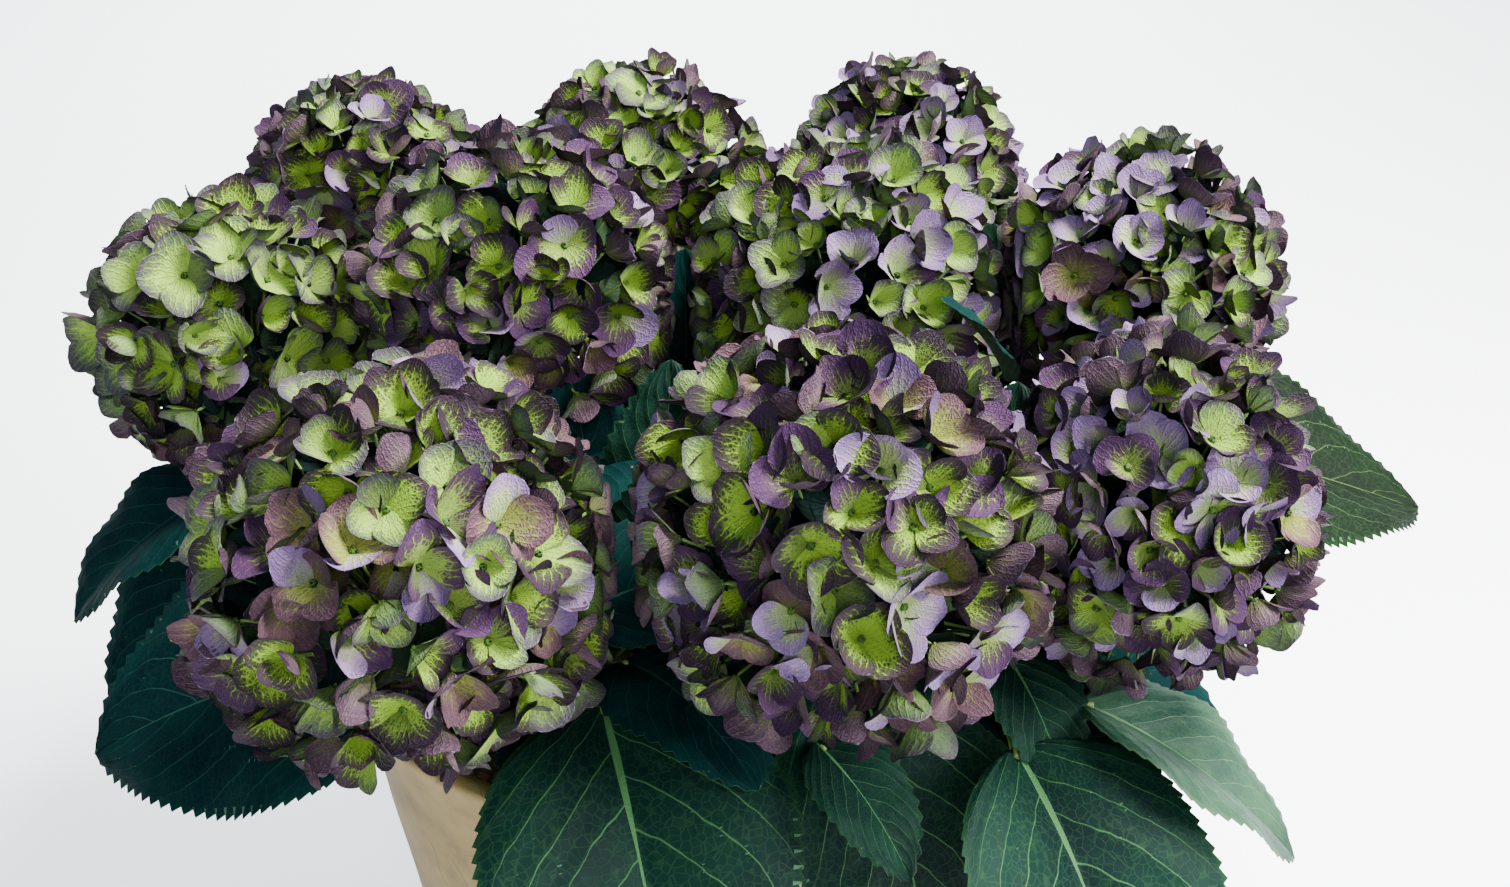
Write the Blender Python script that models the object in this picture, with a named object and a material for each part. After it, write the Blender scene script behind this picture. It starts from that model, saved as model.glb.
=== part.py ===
"""A potted hydrangea: pot, soil, canes, leafy shoots and ten mophead flower heads.

Metres, +Z up. The origin is the centre of the pot's flat underside, and the
front of the plant faces -Y. Each cane rises from the soil as one tapering limb.
A leafy shoot grows on from its tip with pairs of opposite leaves, and a flower
head sits on the shoot. Neighbouring pieces stay CONTACT_GAP apart.
"""

import math
import random

import bmesh
import bpy
from mathutils import Vector
from mathutils.bvhtree import BVHTree

CONTACT_GAP = 0.0003

# Pot: a turned shell with a plain lip and a flat foot.
POT_HEIGHT = 0.350
POT_FOOT_RADIUS = 0.137
POT_RIM_RADIUS = 0.173
POT_WALL = 0.010
POT_FLOOR = 0.016
POT_LIP_HEIGHT = 0.024
POT_LIP_STAND = 0.004
POT_CHAMFER = 0.004
POT_SIDES = 32
POT_SHARP_EDGE = math.radians(35)

# Soil: one plug that fills the pot to a little below its rim.
SOIL_TOP = 0.322
SOIL_SIDES = 24
SOIL_CROWN_FALL = 0.004
SOIL_CROWN_RIM = 0.020

# Flower heads: centre, radius, and height as a share of the width.
HEADS = {
    "back_left": ((-0.185, 0.200, 0.546), 0.085, 1.00),
    "back_middle": ((-0.004, 0.187, 0.554), 0.087, 1.00),
    "back_right": ((0.170, 0.203, 0.552), 0.087, 1.00),
    "middle_left": ((-0.232, 0.050, 0.508), 0.090, 1.12),
    "inner_left": ((-0.064, 0.043, 0.545), 0.100, 0.94),
    "inner_right": ((0.122, 0.048, 0.538), 0.101, 0.94),
    "middle_right": ((0.292, 0.059, 0.540), 0.092, 1.00),
    "front_left": ((-0.093, -0.165, 0.492), 0.109, 1.00),
    "front_middle": ((0.109, -0.149, 0.502), 0.109, 1.00),
    "front_right": ((0.269, -0.108, 0.490), 0.088, 1.24),
}

# Side shoots that carry leaves and no flower: the place of each one's tip.
SIDE_SHOOTS = {
    "front": (-0.020, -0.112, 0.398),
    "right": (0.210, -0.128, 0.394),
    "rear_left": (-0.098, 0.222, 0.430),
    "rear_right": (0.086, 0.230, 0.430),
}

# Canes and shoots.
CANE_FOOT_SPREAD = 0.36
SIDE_FOOT_SPREAD = 0.24
CANE_FOOT_LIMIT = 0.115
CANE_SHARE = 0.45
CANE_RADII = (0.0062, 0.0048)
SHOOT_RADII = (0.0045, 0.0036)
STALK_RADII = (0.0034, 0.0028)
STEM_SIDES = 6
TUBE_TURN = 0.37
CANE_RINGS = 5
SHOOT_RINGS = 4
PATH_STEPS = 200

# How a stem's path runs: upright at its foot, leaning outward at its top.
FOOT_RISE_SHARE = 0.35
FOOT_LEAN_SHARE = 0.06
HEAD_LEAN = 0.30
LEAN_EASES_WITHIN = 0.05
TOP_RISE_SHARE = 0.25
TOP_HEAD_SHARE = 0.60
SQUARE_GUIDE = (0.0, 1.0, 0.02)

# Florets: four broad sepals each, standing out of a smaller core.
CORE_SHARE = 0.90
CORE_FINENESS = 1
STALK_INSIDE_SHARE = 0.45
FLORETS_PER_HEAD = 20
FLORET_REACH_SHARE = 0.30
FLORET_LOWEST = -0.62
FLORET_SINK = 0.60
FLORET_CUP = 0.0045
FLORET_FOLLOW = 0.80
FLORET_EVENNESS = (0.95, 1.0)
NOTCH_LIFT = -0.60
SEPAL_LIFTS = (-0.25, 0.10)
SEPAL_SHOULDER = math.radians(32)
SEPAL_NOTCH_SHARE = 0.62
GOLDEN_ANGLE = math.pi * (3.0 - math.sqrt(5.0))
HEAD_CLEARANCE = 0.0008
SINK_STEPS = (0.0, 0.06, 0.12, 0.18)
HEAD_KEEP = 0.92
KEEP_FINENESS = 3
NEIGHBOUR_WITHIN = 0.020
LEAST_FACING = 0.35

# Leaves: broad, pointed blades on short stalks, in opposite pairs.
LEAF_WIDTH_SHARE = 0.72
LEAF_THICK_SHARE = 0.016
LEAF_STATIONS = (0.16, 0.46, 0.78)
LEAF_FOLD = math.radians(12)
BLADE_BELLY = 0.78
BLADE_FULLNESS = 0.72
BLADE_TIP_TAPER = 0.16
PETIOLE_LENGTH = 0.042
PETIOLE_OVERLAP = 0.007
PETIOLE_RADII = (0.0027, 0.0019)
LEAF_CLEARANCE = 0.0016
PETIOLE_FREE = 0.012
NODE_PLACES = (0.30, 0.86, 0.05)
OUTER_LEAF = 0.172
INNER_LEAF = 0.118

# The rule for a pair, in degrees: how far it stands round from the way that the stem
# leans, how evenly, how its leaves rise at the base, droop towards the tip and roll.
PAIR_TURNS = {1: 62, 0: -18, 2: 52}
PAIR_SWAY = (-12, 12)
PAIR_SIZES = (0.88, 1.06)
BASE_PITCHES = (-10, 6)
OUTER_DROOPS = (38, 62)
INNER_DROOPS = (20, 34)
BLADE_ROLLS = (-8, 8)
STALK_ABOVE_BLADE = 10
OUTWARD_LIMIT = -0.2
LEAF_SEED = 7

COLOURS = {
    "pot": ((0.62, 0.53, 0.40), 0.80),
    "soil": ((0.05, 0.03, 0.02), 0.95),
    "cane": ((0.22, 0.17, 0.09), 0.80),
    "leaf": ((0.03, 0.12, 0.05), 0.55),
    "blossom": ((0.30, 0.20, 0.28), 0.65),
}


def make_material(name):
    """A plain material with the colour and roughness of one finish."""
    colour, roughness = COLOURS[name]
    material = bpy.data.materials.new(name)
    material.use_nodes = True
    shader = material.node_tree.nodes["Principled BSDF"]
    shader.inputs["Base Color"].default_value = (*colour, 1.0)
    shader.inputs["Roughness"].default_value = roughness
    shader.inputs["Metallic"].default_value = 0.0
    return material


def add_object(name, points, faces, material):
    """One mesh object from points and faces, with its faces pointing out."""
    mesh = bpy.data.meshes.new(name)
    mesh.from_pydata([tuple(point) for point in points], [], faces)
    shell = bmesh.new()
    shell.from_mesh(mesh)
    bmesh.ops.recalc_face_normals(shell, faces=shell.faces)
    shell.to_mesh(mesh)
    shell.free()
    piece = bpy.data.objects.new(name, mesh)
    bpy.context.scene.collection.objects.link(piece)
    if material is not None:
        mesh.materials.append(material)
    return piece


def turned_solid(profile, sides):
    """Points and faces of a solid turned about Z, from a profile of (radius, height)."""
    points = []
    for radius, height in profile:
        for side in range(sides):
            turn = 2.0 * math.pi * side / sides
            points.append(Vector((radius * math.cos(turn), radius * math.sin(turn), height)))
    faces = []
    for ring in range(len(profile) - 1):
        for side in range(sides):
            after = (side + 1) % sides
            low = ring * sides
            high = low + sides
            faces.append((low + side, low + after, high + after, high + side))
    faces.append(tuple(range(sides)))
    faces.append(tuple(len(points) - sides + side for side in range(sides)))
    return points, faces


def wall_radius(height):
    """Radius of the pot's outer wall at a height above its foot."""
    return POT_FOOT_RADIUS + (POT_RIM_RADIUS - POT_FOOT_RADIUS) * height / POT_HEIGHT


def build_pot(material):
    lip_foot = POT_HEIGHT - POT_LIP_HEIGHT
    outside = [
        (POT_FOOT_RADIUS - POT_CHAMFER, 0.0),
        (wall_radius(POT_CHAMFER), POT_CHAMFER),
        (wall_radius(POT_HEIGHT / 2), POT_HEIGHT / 2),
        (wall_radius(lip_foot), lip_foot),
        (wall_radius(lip_foot) + POT_LIP_STAND, lip_foot + POT_LIP_STAND),
        (POT_RIM_RADIUS + POT_LIP_STAND, POT_HEIGHT - POT_CHAMFER),
        (POT_RIM_RADIUS + POT_LIP_STAND - POT_CHAMFER, POT_HEIGHT),
    ]
    inside = [
        (POT_RIM_RADIUS - POT_WALL + POT_CHAMFER / 2, POT_HEIGHT),
        (wall_radius(POT_HEIGHT) - POT_WALL, POT_HEIGHT - POT_CHAMFER),
        (wall_radius(POT_FLOOR) - POT_WALL, POT_FLOOR),
    ]
    points, faces = turned_solid(outside + inside, POT_SIDES)
    pot = add_object("pot", points, faces, material)
    pot.data.shade_smooth()
    pot.data.set_sharp_from_angle(angle=POT_SHARP_EDGE)
    return pot


def build_soil(material):
    clear_of_wall = POT_WALL + CONTACT_GAP * 3
    floor = POT_FLOOR + CONTACT_GAP
    profile = [
        (wall_radius(floor) - clear_of_wall, floor),
        (wall_radius(SOIL_TOP) - clear_of_wall, SOIL_TOP - SOIL_CROWN_FALL),
        (wall_radius(SOIL_TOP) - clear_of_wall - SOIL_CROWN_RIM, SOIL_TOP),
    ]
    points, faces = turned_solid(profile, SOIL_SIDES)
    return add_object("soil", points, faces, material)


# Stem paths.


def bezier(corners, share):
    """A point on the cubic curve through four control points."""
    rest = 1.0 - share
    return (
        corners[0] * rest**3
        + corners[1] * (3 * rest**2 * share)
        + corners[2] * (3 * rest * share**2)
        + corners[3] * share**3
    )


def stem_path(top, radius):
    """Points up the middle of one stem, from the soil to the middle of its top."""
    top = Vector(top)
    out = Vector((top.x, top.y, 0.0))
    foot = out * (CANE_FOOT_SPREAD if radius > 0.0 else SIDE_FOOT_SPREAD)
    if foot.length > CANE_FOOT_LIMIT:
        foot = foot.normalized() * CANE_FOOT_LIMIT
    foot.z = SOIL_TOP + CONTACT_GAP
    rise = top.z - foot.z
    outward = out * HEAD_LEAN / max(out.length, LEAN_EASES_WITHIN)
    lean = (outward + Vector((0.0, 0.0, 1.0))).normalized()
    corners = (
        foot,
        foot + Vector((0.0, 0.0, rise * FOOT_RISE_SHARE)) + out * FOOT_LEAN_SHARE,
        top - lean * (rise * TOP_RISE_SHARE + radius * TOP_HEAD_SHARE),
        top,
    )
    return [bezier(corners, step / PATH_STEPS) for step in range(PATH_STEPS + 1)]


def path_lengths(path):
    lengths = [0.0]
    for before, after in zip(path, path[1:]):
        lengths.append(lengths[-1] + (after - before).length)
    return lengths


def point_along(path, lengths, distance):
    """Place and direction on a path at a distance from its foot."""
    for index in range(1, len(path)):
        if lengths[index] >= distance or index == len(path) - 1:
            span = lengths[index] - lengths[index - 1]
            share = (distance - lengths[index - 1]) / span
            step = path[index] - path[index - 1]
            return path[index - 1] + step * share, step.normalized()
    return path[-1], Vector((0.0, 0.0, 1.0))


def across(direction):
    """Two directions square to a stem's own."""
    first = direction.cross(Vector(SQUARE_GUIDE)).normalized()
    return first, direction.cross(first).normalized()


def tube(stations, radii, sides):
    """A tapering tube with flat ends, from (place, direction) stations."""
    points = []
    for (place, direction), radius in zip(stations, radii):
        first, second = across(direction)
        for side in range(sides):
            turn = 2.0 * math.pi * (side + TUBE_TURN) / sides
            spoke = first * math.cos(turn) + second * math.sin(turn)
            points.append(place + spoke * radius)
    faces = []
    for ring in range(len(stations) - 1):
        for side in range(sides):
            after = (side + 1) % sides
            low = ring * sides
            high = low + sides
            faces.append((low + side, low + after, high + after, high + side))
    faces.append(tuple(range(sides)))
    faces.append(tuple(len(points) - sides + side for side in range(sides)))
    return points, faces


def stem_tube(path, lengths, start, end, radii, rings):
    """The tube of one stretch of a stem, tapering evenly; on the soil it is cut level."""
    stations = []
    widths = []
    for ring in range(rings):
        share = ring / (rings - 1)
        place, direction = point_along(path, lengths, start + (end - start) * share)
        if start == 0.0 and ring == 0:
            direction = Vector((0.0, 0.0, 1.0))
        stations.append((place, direction))
        widths.append(radii[0] + (radii[1] - radii[0]) * share)
    return tube(stations, widths, STEM_SIDES)


class Stem:
    """One cane with what it carries: the path, and where cane and shoot end."""

    def __init__(self, name, top, radius=0.0, tall=1.0):
        self.name = name
        self.top = Vector(top)
        self.radius = radius
        self.tall = tall
        self.path = stem_path(top, radius)
        self.lengths = path_lengths(self.path)
        self.end = self.lengths[-1]
        if radius > 0.0:
            for index, place in enumerate(self.path):
                if (place - self.top).length <= radius * tall:
                    self.end = self.lengths[index]
                    break
        self.cane_end = self.end * CANE_SHARE

    def at(self, distance):
        return point_along(self.path, self.lengths, distance)

    def cane(self):
        return stem_tube(self.path, self.lengths, 0.0, self.cane_end, CANE_RADII, CANE_RINGS)

    def shoot(self):
        start = self.cane_end + CONTACT_GAP
        return stem_tube(self.path, self.lengths, start, self.end, SHOOT_RADII, SHOOT_RINGS)

    def stalk(self):
        start = self.end + CONTACT_GAP
        inside = self.lengths[-1] - self.radius * STALK_INSIDE_SHARE
        return stem_tube(self.path, self.lengths, start, inside, STALK_RADII, 2)


# Leaves.


def blade_half_width(share):
    """Half width of a blade, as a share of its widest, from its base to its tip."""
    return math.sin(math.pi * share**BLADE_BELLY) ** BLADE_FULLNESS * (1.0 - BLADE_TIP_TAPER * share)


def heading(turn, pitch):
    """The direction at an azimuth and a pitch above level."""
    level = math.cos(pitch)
    return Vector((math.cos(turn) * level, math.sin(turn) * level, math.sin(pitch)))


class Leaf:
    """One leaf: where it leaves its stem, and how its midrib turns and droops."""

    def __init__(self, place, turns, length, pitches, roll, width_share):
        self.place = place
        self.length = length
        self.width = length * width_share
        stalk_pitch, self.start_pitch, self.end_pitch = pitches
        self.roll = roll
        self.stalk = heading(turns[0], stalk_pitch)
        self.out = heading(turns[1], 0.0)
        self.side = Vector((0.0, 0.0, 1.0)).cross(self.out)
        self.base = place + self.stalk * PETIOLE_LENGTH

    def ahead(self, pitch):
        return self.out * math.cos(pitch) + Vector((0.0, 0.0, math.sin(pitch)))

    def midrib(self, share):
        """Place, sideways and upward directions on the midrib."""
        turn = self.end_pitch - self.start_pitch
        pitch = self.start_pitch + turn * share
        bend = self.length / turn
        along = bend * (math.sin(pitch) - math.sin(self.start_pitch))
        rise = bend * (math.cos(self.start_pitch) - math.cos(pitch))
        place = self.base + self.out * along + Vector((0.0, 0.0, rise))
        up = Vector((0.0, 0.0, math.cos(pitch))) - self.out * math.sin(pitch)
        side = self.side * math.cos(self.roll) + up * math.sin(self.roll)
        above = up * math.cos(self.roll) - self.side * math.sin(self.roll)
        return place, side, above

    def blade(self, swell=0.0):
        """The blade as a thin solid with sharp edges, swollen by a clearance where asked."""
        thick = self.length * LEAF_THICK_SHARE / 2 + swell
        place, side, above = self.midrib(0.0)
        points = [place - self.ahead(self.start_pitch) * swell]
        for share in LEAF_STATIONS:
            place, side, above = self.midrib(share)
            half = self.width / 2 * blade_half_width(share) + swell
            lift = half * math.sin(LEAF_FOLD)
            spread = half * math.cos(LEAF_FOLD)
            points.append(place + side * spread + above * lift)
            points.append(place + above * thick)
            points.append(place - side * spread + above * lift)
            points.append(place - above * thick)
        place, side, above = self.midrib(1.0)
        points.append(place + self.ahead(self.end_pitch) * swell)
        faces = []
        last = len(points) - 1
        for corner in range(4):
            after = (corner + 1) % 4
            faces.append((0, 1 + corner, 1 + after))
            faces.append((last, last - 4 + after, last - 4 + corner))
        for ring in range(len(LEAF_STATIONS) - 1):
            low = 1 + ring * 4
            for corner in range(4):
                after = (corner + 1) % 4
                faces.append((low + corner, low + 4 + corner, low + 4 + after))
                faces.append((low + corner, low + 4 + after, low + after))
        return points, faces

    def petiole(self, start=0.0):
        """The leaf's stalk, from inside the stem to just past the blade's foot."""
        stations = [
            (self.place + self.stalk * start, self.stalk),
            (self.base + self.stalk * PETIOLE_OVERLAP, self.stalk),
        ]
        return tube(stations, PETIOLE_RADII, 3)


# Leaves that the front of the plant shows plainly, as they grow there: node, azimuth of the
# stalk, swing of the blade from it, length, pitch of stalk, of blade's base and of its tip,
# roll, and width as a share of the length; degrees and metres.
SHOWN_LEAVES = {
    "front": [
        (1, -74, 2, 0.205, 8, -18, -74, 0, 0.82),
        (1, 112, 0, 0.100, 30, 20, -10, 0, 0.72),
        (0, -40, 16, 0.150, 20, 8, -50, 0, 0.76),
        (0, 196, 0, 0.120, 18, 6, -34, 0, 0.72),
    ],
    "front_left": [
        (1, 180, 0, 0.206, 6, -4, -36, -32, 0.80),
        (1, -14, 4, 0.112, 18, 6, -18, 22, 0.82),
        (0, 150, 0, 0.120, 0, -5, -40, 0, 0.72),
    ],
    "front_middle": [
        (1, -2, -46, 0.190, 4, -20, -72, 0, 0.76),
        (1, 150, 0, 0.120, 8, 4, -24, 0, 0.72),
        (0, 60, 0, 0.120, 0, -10, -50, 0, 0.70),
    ],
    "right": [
        (1, -20, 0, 0.140, 12, -4, -42, -10, 0.70),
        (1, -88, 26, 0.190, 4, -14, -70, 0, 0.78),
        (0, 118, 0, 0.120, 5, 0, -50, 0, 0.72),
        (0, -40, 0, 0.130, 0, -10, -60, 0, 0.72),
    ],
    "front_right": [
        (1, 64, 0, 0.130, 10, 0, -30, 0, 0.76),
        (1, 202, 0, 0.110, 5, 0, -40, 0, 0.72),
        (0, -30, 0, 0.150, 0, -16, -64, 0, 0.74),
        (0, 118, 0, 0.130, 0, -6, -40, 0, 0.72),
    ],
    "inner_left": [
        (1, -100, 0, 0.110, 26, 20, -4, 0, 0.72),
        (1, 10, 0, 0.110, 30, 24, 0, 0, 0.72),
        (0, 205, 0, 0.140, 0, -6, -40, 0, 0.72),
        (0, 100, 0, 0.140, 0, -6, -40, 0, 0.72),
    ],
    "inner_right": [
        (1, -72, 0, 0.110, 28, 22, -2, 0, 0.72),
        (1, 20, 0, 0.110, 28, 20, -6, 0, 0.72),
        (0, 160, 0, 0.120, 0, -6, -40, 0, 0.72),
        (0, 80, 0, 0.140, 0, -6, -40, 0, 0.72),
    ],
    "middle_right": [
        (1, 6, 0, 0.240, -8, -12, -24, 14, 0.74),
        (1, 180, 0, 0.110, 10, 0, -40, 0, 0.72),
        (0, 60, 0, 0.170, 0, -10, -56, 0, 0.74),
        (0, -96, 0, 0.110, 0, -10, -50, 0, 0.72),
    ],
    "middle_left": [
        (1, 196, 0, 0.160, -4, -14, -40, -20, 0.76),
        (1, 25, 0, 0.110, 20, 10, -20, 0, 0.70),
        (0, 135, 0, 0.165, 2, -12, -62, 0, 0.72),
        (0, -48, 0, 0.110, 0, -8, -40, 0, 0.72),
    ],
}


def pair_by_rule(stem, node, dice):
    """A pair of opposite leaves; the ones that face out are longer and droop more."""
    outward = math.degrees(math.atan2(stem.top.y, stem.top.x))
    rows = []
    for half_turn in (0, 180):
        azimuth = outward + PAIR_TURNS[node] + half_turn + dice.uniform(*PAIR_SWAY)
        faces_out = math.cos(math.radians(azimuth - outward)) > OUTWARD_LIMIT
        length = (OUTER_LEAF if faces_out else INNER_LEAF) * dice.uniform(*PAIR_SIZES)
        start = dice.uniform(*BASE_PITCHES)
        droop = dice.uniform(*(OUTER_DROOPS if faces_out else INNER_DROOPS))
        roll = dice.uniform(*BLADE_ROLLS)
        stalk = start + STALK_ABOVE_BLADE
        rows.append((node, azimuth, 0, length, stalk, start, start - droop, roll, LEAF_WIDTH_SHARE))
    return rows


def leaf_rows(stem, dice):
    """Leaf pairs of one shoot: each pair stands square to the one below it."""
    rows = pair_by_rule(stem, 1, dice) + pair_by_rule(stem, 0, dice)
    return SHOWN_LEAVES.get(stem.name, rows) + pair_by_rule(stem, 2, dice)


# What is tried, in turn, where a leaf would touch something: a change of azimuth and
# of pitch, on a leaf of full length first and then on shorter ones.
TURNS_TRIED = (
    (0, -8), (0, 8), (12, 0), (-12, 0), (14, -10), (-14, -10), (14, 10), (-14, 10),
    (0, -18), (0, 18), (24, 0), (-24, 0), (26, -16), (-26, -16), (26, 16), (-26, 16),
)
LENGTHS_TRIED = (1.0, 0.9, 0.78)
LEAF_TRIES = [(0, 0, 1.0)]
LEAF_TRIES += [(*turned, shrunk) for shrunk in LENGTHS_TRIED for turned in TURNS_TRIED]


def leaf_from_row(stem, row, change):
    node, azimuth, swing, length, stalk, start, end, roll, width = row
    turn_by, tip_by, shrink = change
    distance = stem.cane_end + (stem.end - stem.cane_end) * NODE_PLACES[node]
    place, _ = stem.at(distance)
    pitches = [math.radians(pitch + tip_by) for pitch in (stalk, start, end)]
    turns = [math.radians(azimuth + turn_by), math.radians(azimuth + turn_by + swing)]
    return Leaf(place, turns, length * shrink, pitches, math.radians(roll), width)


def touches(solid, obstacles):
    tree = BVHTree.FromPolygons(*solid)
    return any(tree.overlap(other) for other in obstacles)


def obstacle(solid):
    return BVHTree.FromPolygons(*solid)


def stretched(offset, tall):
    return Vector((offset.x, offset.y, offset.z * tall))


def ball(centre, radius, tall, fineness):
    """A round solid of flat faces, stretched along Z."""
    shell = bmesh.new()
    bmesh.ops.create_icosphere(shell, subdivisions=fineness, radius=radius)
    points = [centre + stretched(corner.co, tall) for corner in shell.verts]
    faces = [tuple(corner.index for corner in face.verts) for face in shell.faces]
    shell.free()
    return points, faces


def first_free(stem, row, blade_keeps_off, stalk_keeps_off, mine):
    """The leaf of one row where it touches nothing, or nothing where no try is free."""
    for change in LEAF_TRIES:
        leaf = leaf_from_row(stem, row, change)
        if touches(leaf.blade(LEAF_CLEARANCE), blade_keeps_off + mine):
            continue
        if touches(leaf.petiole(), stalk_keeps_off):
            continue
        if touches(leaf.petiole(PETIOLE_FREE), mine):
            continue
        return leaf
    return None


def grow_leaves(stems):
    """Every leaf by name of stem, the shown ones first; what finds no free space is left out."""
    dice = random.Random(LEAF_SEED)
    pot_shape = turned_solid([
        (POT_FOOT_RADIUS, 0.0),
        (POT_RIM_RADIUS + POT_LIP_STAND + LEAF_CLEARANCE, POT_HEIGHT + LEAF_CLEARANCE),
    ], POT_SIDES)
    fixed = [obstacle(pot_shape)]
    shoots = {stem.name: obstacle(stem.shoot()) for stem in stems}
    for stem in stems:
        fixed.append(obstacle(stem.cane()))
        if stem.radius > 0.0:
            fixed.append(obstacle(stem.stalk()))
            fixed.append(obstacle(ball(stem.top, stem.radius * HEAD_KEEP, stem.tall, KEEP_FINENESS)))
    taken = {stem.name: [] for stem in stems}
    grown = {stem.name: [] for stem in stems}
    by_name = {stem.name: stem for stem in stems}
    order = list(SHOWN_LEAVES) + [name for name in by_name if name not in SHOWN_LEAVES]
    for name in order:
        stem = by_name[name]
        others = list(fixed)
        for other in by_name:
            if other != name:
                others += [shoots[other]] + taken[other]
        mine = []
        for row in leaf_rows(stem, dice):
            leaf = first_free(stem, row, others + [shoots[name]], others, mine)
            if leaf is not None:
                blade = obstacle(leaf.blade(LEAF_CLEARANCE))
                mine += [blade, obstacle(leaf.petiole(PETIOLE_FREE))]
                taken[name] += [blade, obstacle(leaf.petiole())]
                grown[name].append(leaf)
    return grown


# Flower heads.


def cell_planes(name):
    """Planes that part a head's space from those of its neighbours."""
    centre, radius = Vector(HEADS[name][0]), HEADS[name][1]
    planes = []
    for other_name, (other_centre, other_radius, _) in HEADS.items():
        if other_name == name:
            continue
        gap = Vector(other_centre) - centre
        distance = gap.length
        if distance < radius + other_radius + NEIGHBOUR_WITHIN:
            share = (distance**2 + radius**2 - other_radius**2) / (2 * distance)
            planes.append((gap / distance, share - HEAD_CLEARANCE))
    return planes


def floret_solid(axis, radius, spin, core):
    """A four-lobed floret about the head's middle; its underside runs down into the core."""
    first, second = across(axis)
    points = [axis * (radius - FLORET_CUP), axis * (core * FLORET_SINK)]
    for lobe in range(4):
        middle = spin + lobe * math.pi / 2
        steps = (
            (middle - math.pi / 4, SEPAL_NOTCH_SHARE, NOTCH_LIFT),
            (middle - SEPAL_SHOULDER, 1.0, SEPAL_LIFTS[lobe % 2]),
            (middle + SEPAL_SHOULDER, 1.0, SEPAL_LIFTS[lobe % 2]),
        )
        for turn, share, lift in steps:
            flat = first * math.cos(turn) + second * math.sin(turn)
            reach = radius * FLORET_REACH_SHARE * share
            fall = radius - math.sqrt(max(radius**2 - reach**2, 0.0))
            height = radius - fall * FLORET_FOLLOW + FLORET_CUP * lift
            points.append(axis * height + flat * reach)
    rim = len(points) - 2
    faces = []
    for corner in range(rim):
        after = (corner + 1) % rim
        faces.append((0, 2 + corner, 2 + after))
        faces.append((1, 2 + after, 2 + corner))
    return points, faces


def floret_axes(count, lowest):
    """Directions spread evenly over a head, from its top down to its skirt."""
    for index in range(count):
        height = 1.0 - (1.0 - lowest) * (index + 0.5) / count
        level = math.sqrt(1.0 - height * height)
        turn = index * GOLDEN_ANGLE
        yield Vector((level * math.cos(turn), level * math.sin(turn), height))


def push_needed(points, axis, planes):
    """How far a floret has to sink along its own axis to stay in the head's cell."""
    worst = 0.0
    for normal, limit in planes:
        for point in points:
            over = point.dot(normal) - limit
            worst = max(worst, over / max(axis.dot(normal), LEAST_FACING))
    return worst


def head_solids(name, leaf_trees):
    """The core and florets of one head, each a closed shape in the head's own space."""
    centre, radius, tall = HEADS[name]
    centre = Vector(centre)
    planes = cell_planes(name)
    dice = random.Random(name)
    core = min([limit for _, limit in planes] + [radius * CORE_SHARE])
    solids = []
    for axis in floret_axes(FLORETS_PER_HEAD, FLORET_LOWEST):
        spin = dice.uniform(0.0, math.pi / 2)
        reach = radius * dice.uniform(*FLORET_EVENNESS)
        points, faces = floret_solid(axis, reach, spin, core)
        points = [stretched(point, tall) for point in points]
        sink = push_needed(points, axis, planes)
        for more in SINK_STEPS:
            points, faces = floret_solid(axis, reach - sink - radius * more, spin, core)
            points = [stretched(point, tall) for point in points]
            solid = [centre + point for point in points]
            if push_needed(points, axis, planes) == 0.0 and not touches((solid, faces), leaf_trees):
                solids.append((solid, faces))
                break
    return ball(centre, core, tall, CORE_FINENESS), solids


def fuse(name, main, others, material):
    """One solid from a main shape and everything that is sunk into it."""
    whole = add_object(name, *main, material)
    group = bpy.data.collections.new(name + "_parts")
    pieces = []
    for points, faces in others:
        piece = add_object(name + "_part", points, faces, None)
        bpy.context.scene.collection.objects.unlink(piece)
        group.objects.link(piece)
        pieces.append(piece)
    bpy.context.scene.collection.children.link(group)
    union = whole.modifiers.new("union", "BOOLEAN")
    union.operation = "UNION"
    union.operand_type = "COLLECTION"
    union.collection = group
    union.solver = "MANIFOLD"
    depsgraph = bpy.context.evaluated_depsgraph_get()
    joined = bpy.data.meshes.new_from_object(whole.evaluated_get(depsgraph))
    whole.modifiers.clear()
    whole.data = joined
    for piece in pieces:
        bpy.data.objects.remove(piece, do_unlink=True)
    bpy.data.collections.remove(group)
    return whole


def build():
    for old in list(bpy.data.objects):
        bpy.data.objects.remove(old, do_unlink=True)
    finish = {name: make_material(name) for name in COLOURS}
    build_pot(finish["pot"])
    build_soil(finish["soil"])
    stems = [Stem(name, *place) for name, place in HEADS.items()]
    stems += [Stem(name, tip) for name, tip in SIDE_SHOOTS.items()]
    grown = grow_leaves(stems)
    leaf_trees = []
    for leaf in [leaf for stem in stems for leaf in grown[stem.name]]:
        leaf_trees += [obstacle(leaf.blade(CONTACT_GAP)), obstacle(leaf.petiole())]
    for stem in stems:
        add_object("cane_" + stem.name, *stem.cane(), finish["cane"])
        parts = []
        for leaf in grown[stem.name]:
            parts += [leaf.petiole(), leaf.blade()]
        fuse("leafy_shoot_" + stem.name, stem.shoot(), parts, finish["leaf"])
        if stem.radius > 0.0:
            core, florets = head_solids(stem.name, leaf_trees)
            fuse("flower_head_" + stem.name, core, [stem.stalk()] + florets, finish["blossom"])


build()
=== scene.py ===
# %% [markdown]
# # A potted hydrangea
#
# This lesson dresses the plain solids of a potted mophead hydrangea. The solids fix where
# each cane, leaf and flower head is. Here every one of them grows again in finer form, by
# the same rule and the same seeded numbers, so that looks and solids stay together.

import math
import random

import bmesh
import bpy
import numpy as np
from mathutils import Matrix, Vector, noise
from mathutils.bvhtree import BVHTree


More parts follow.
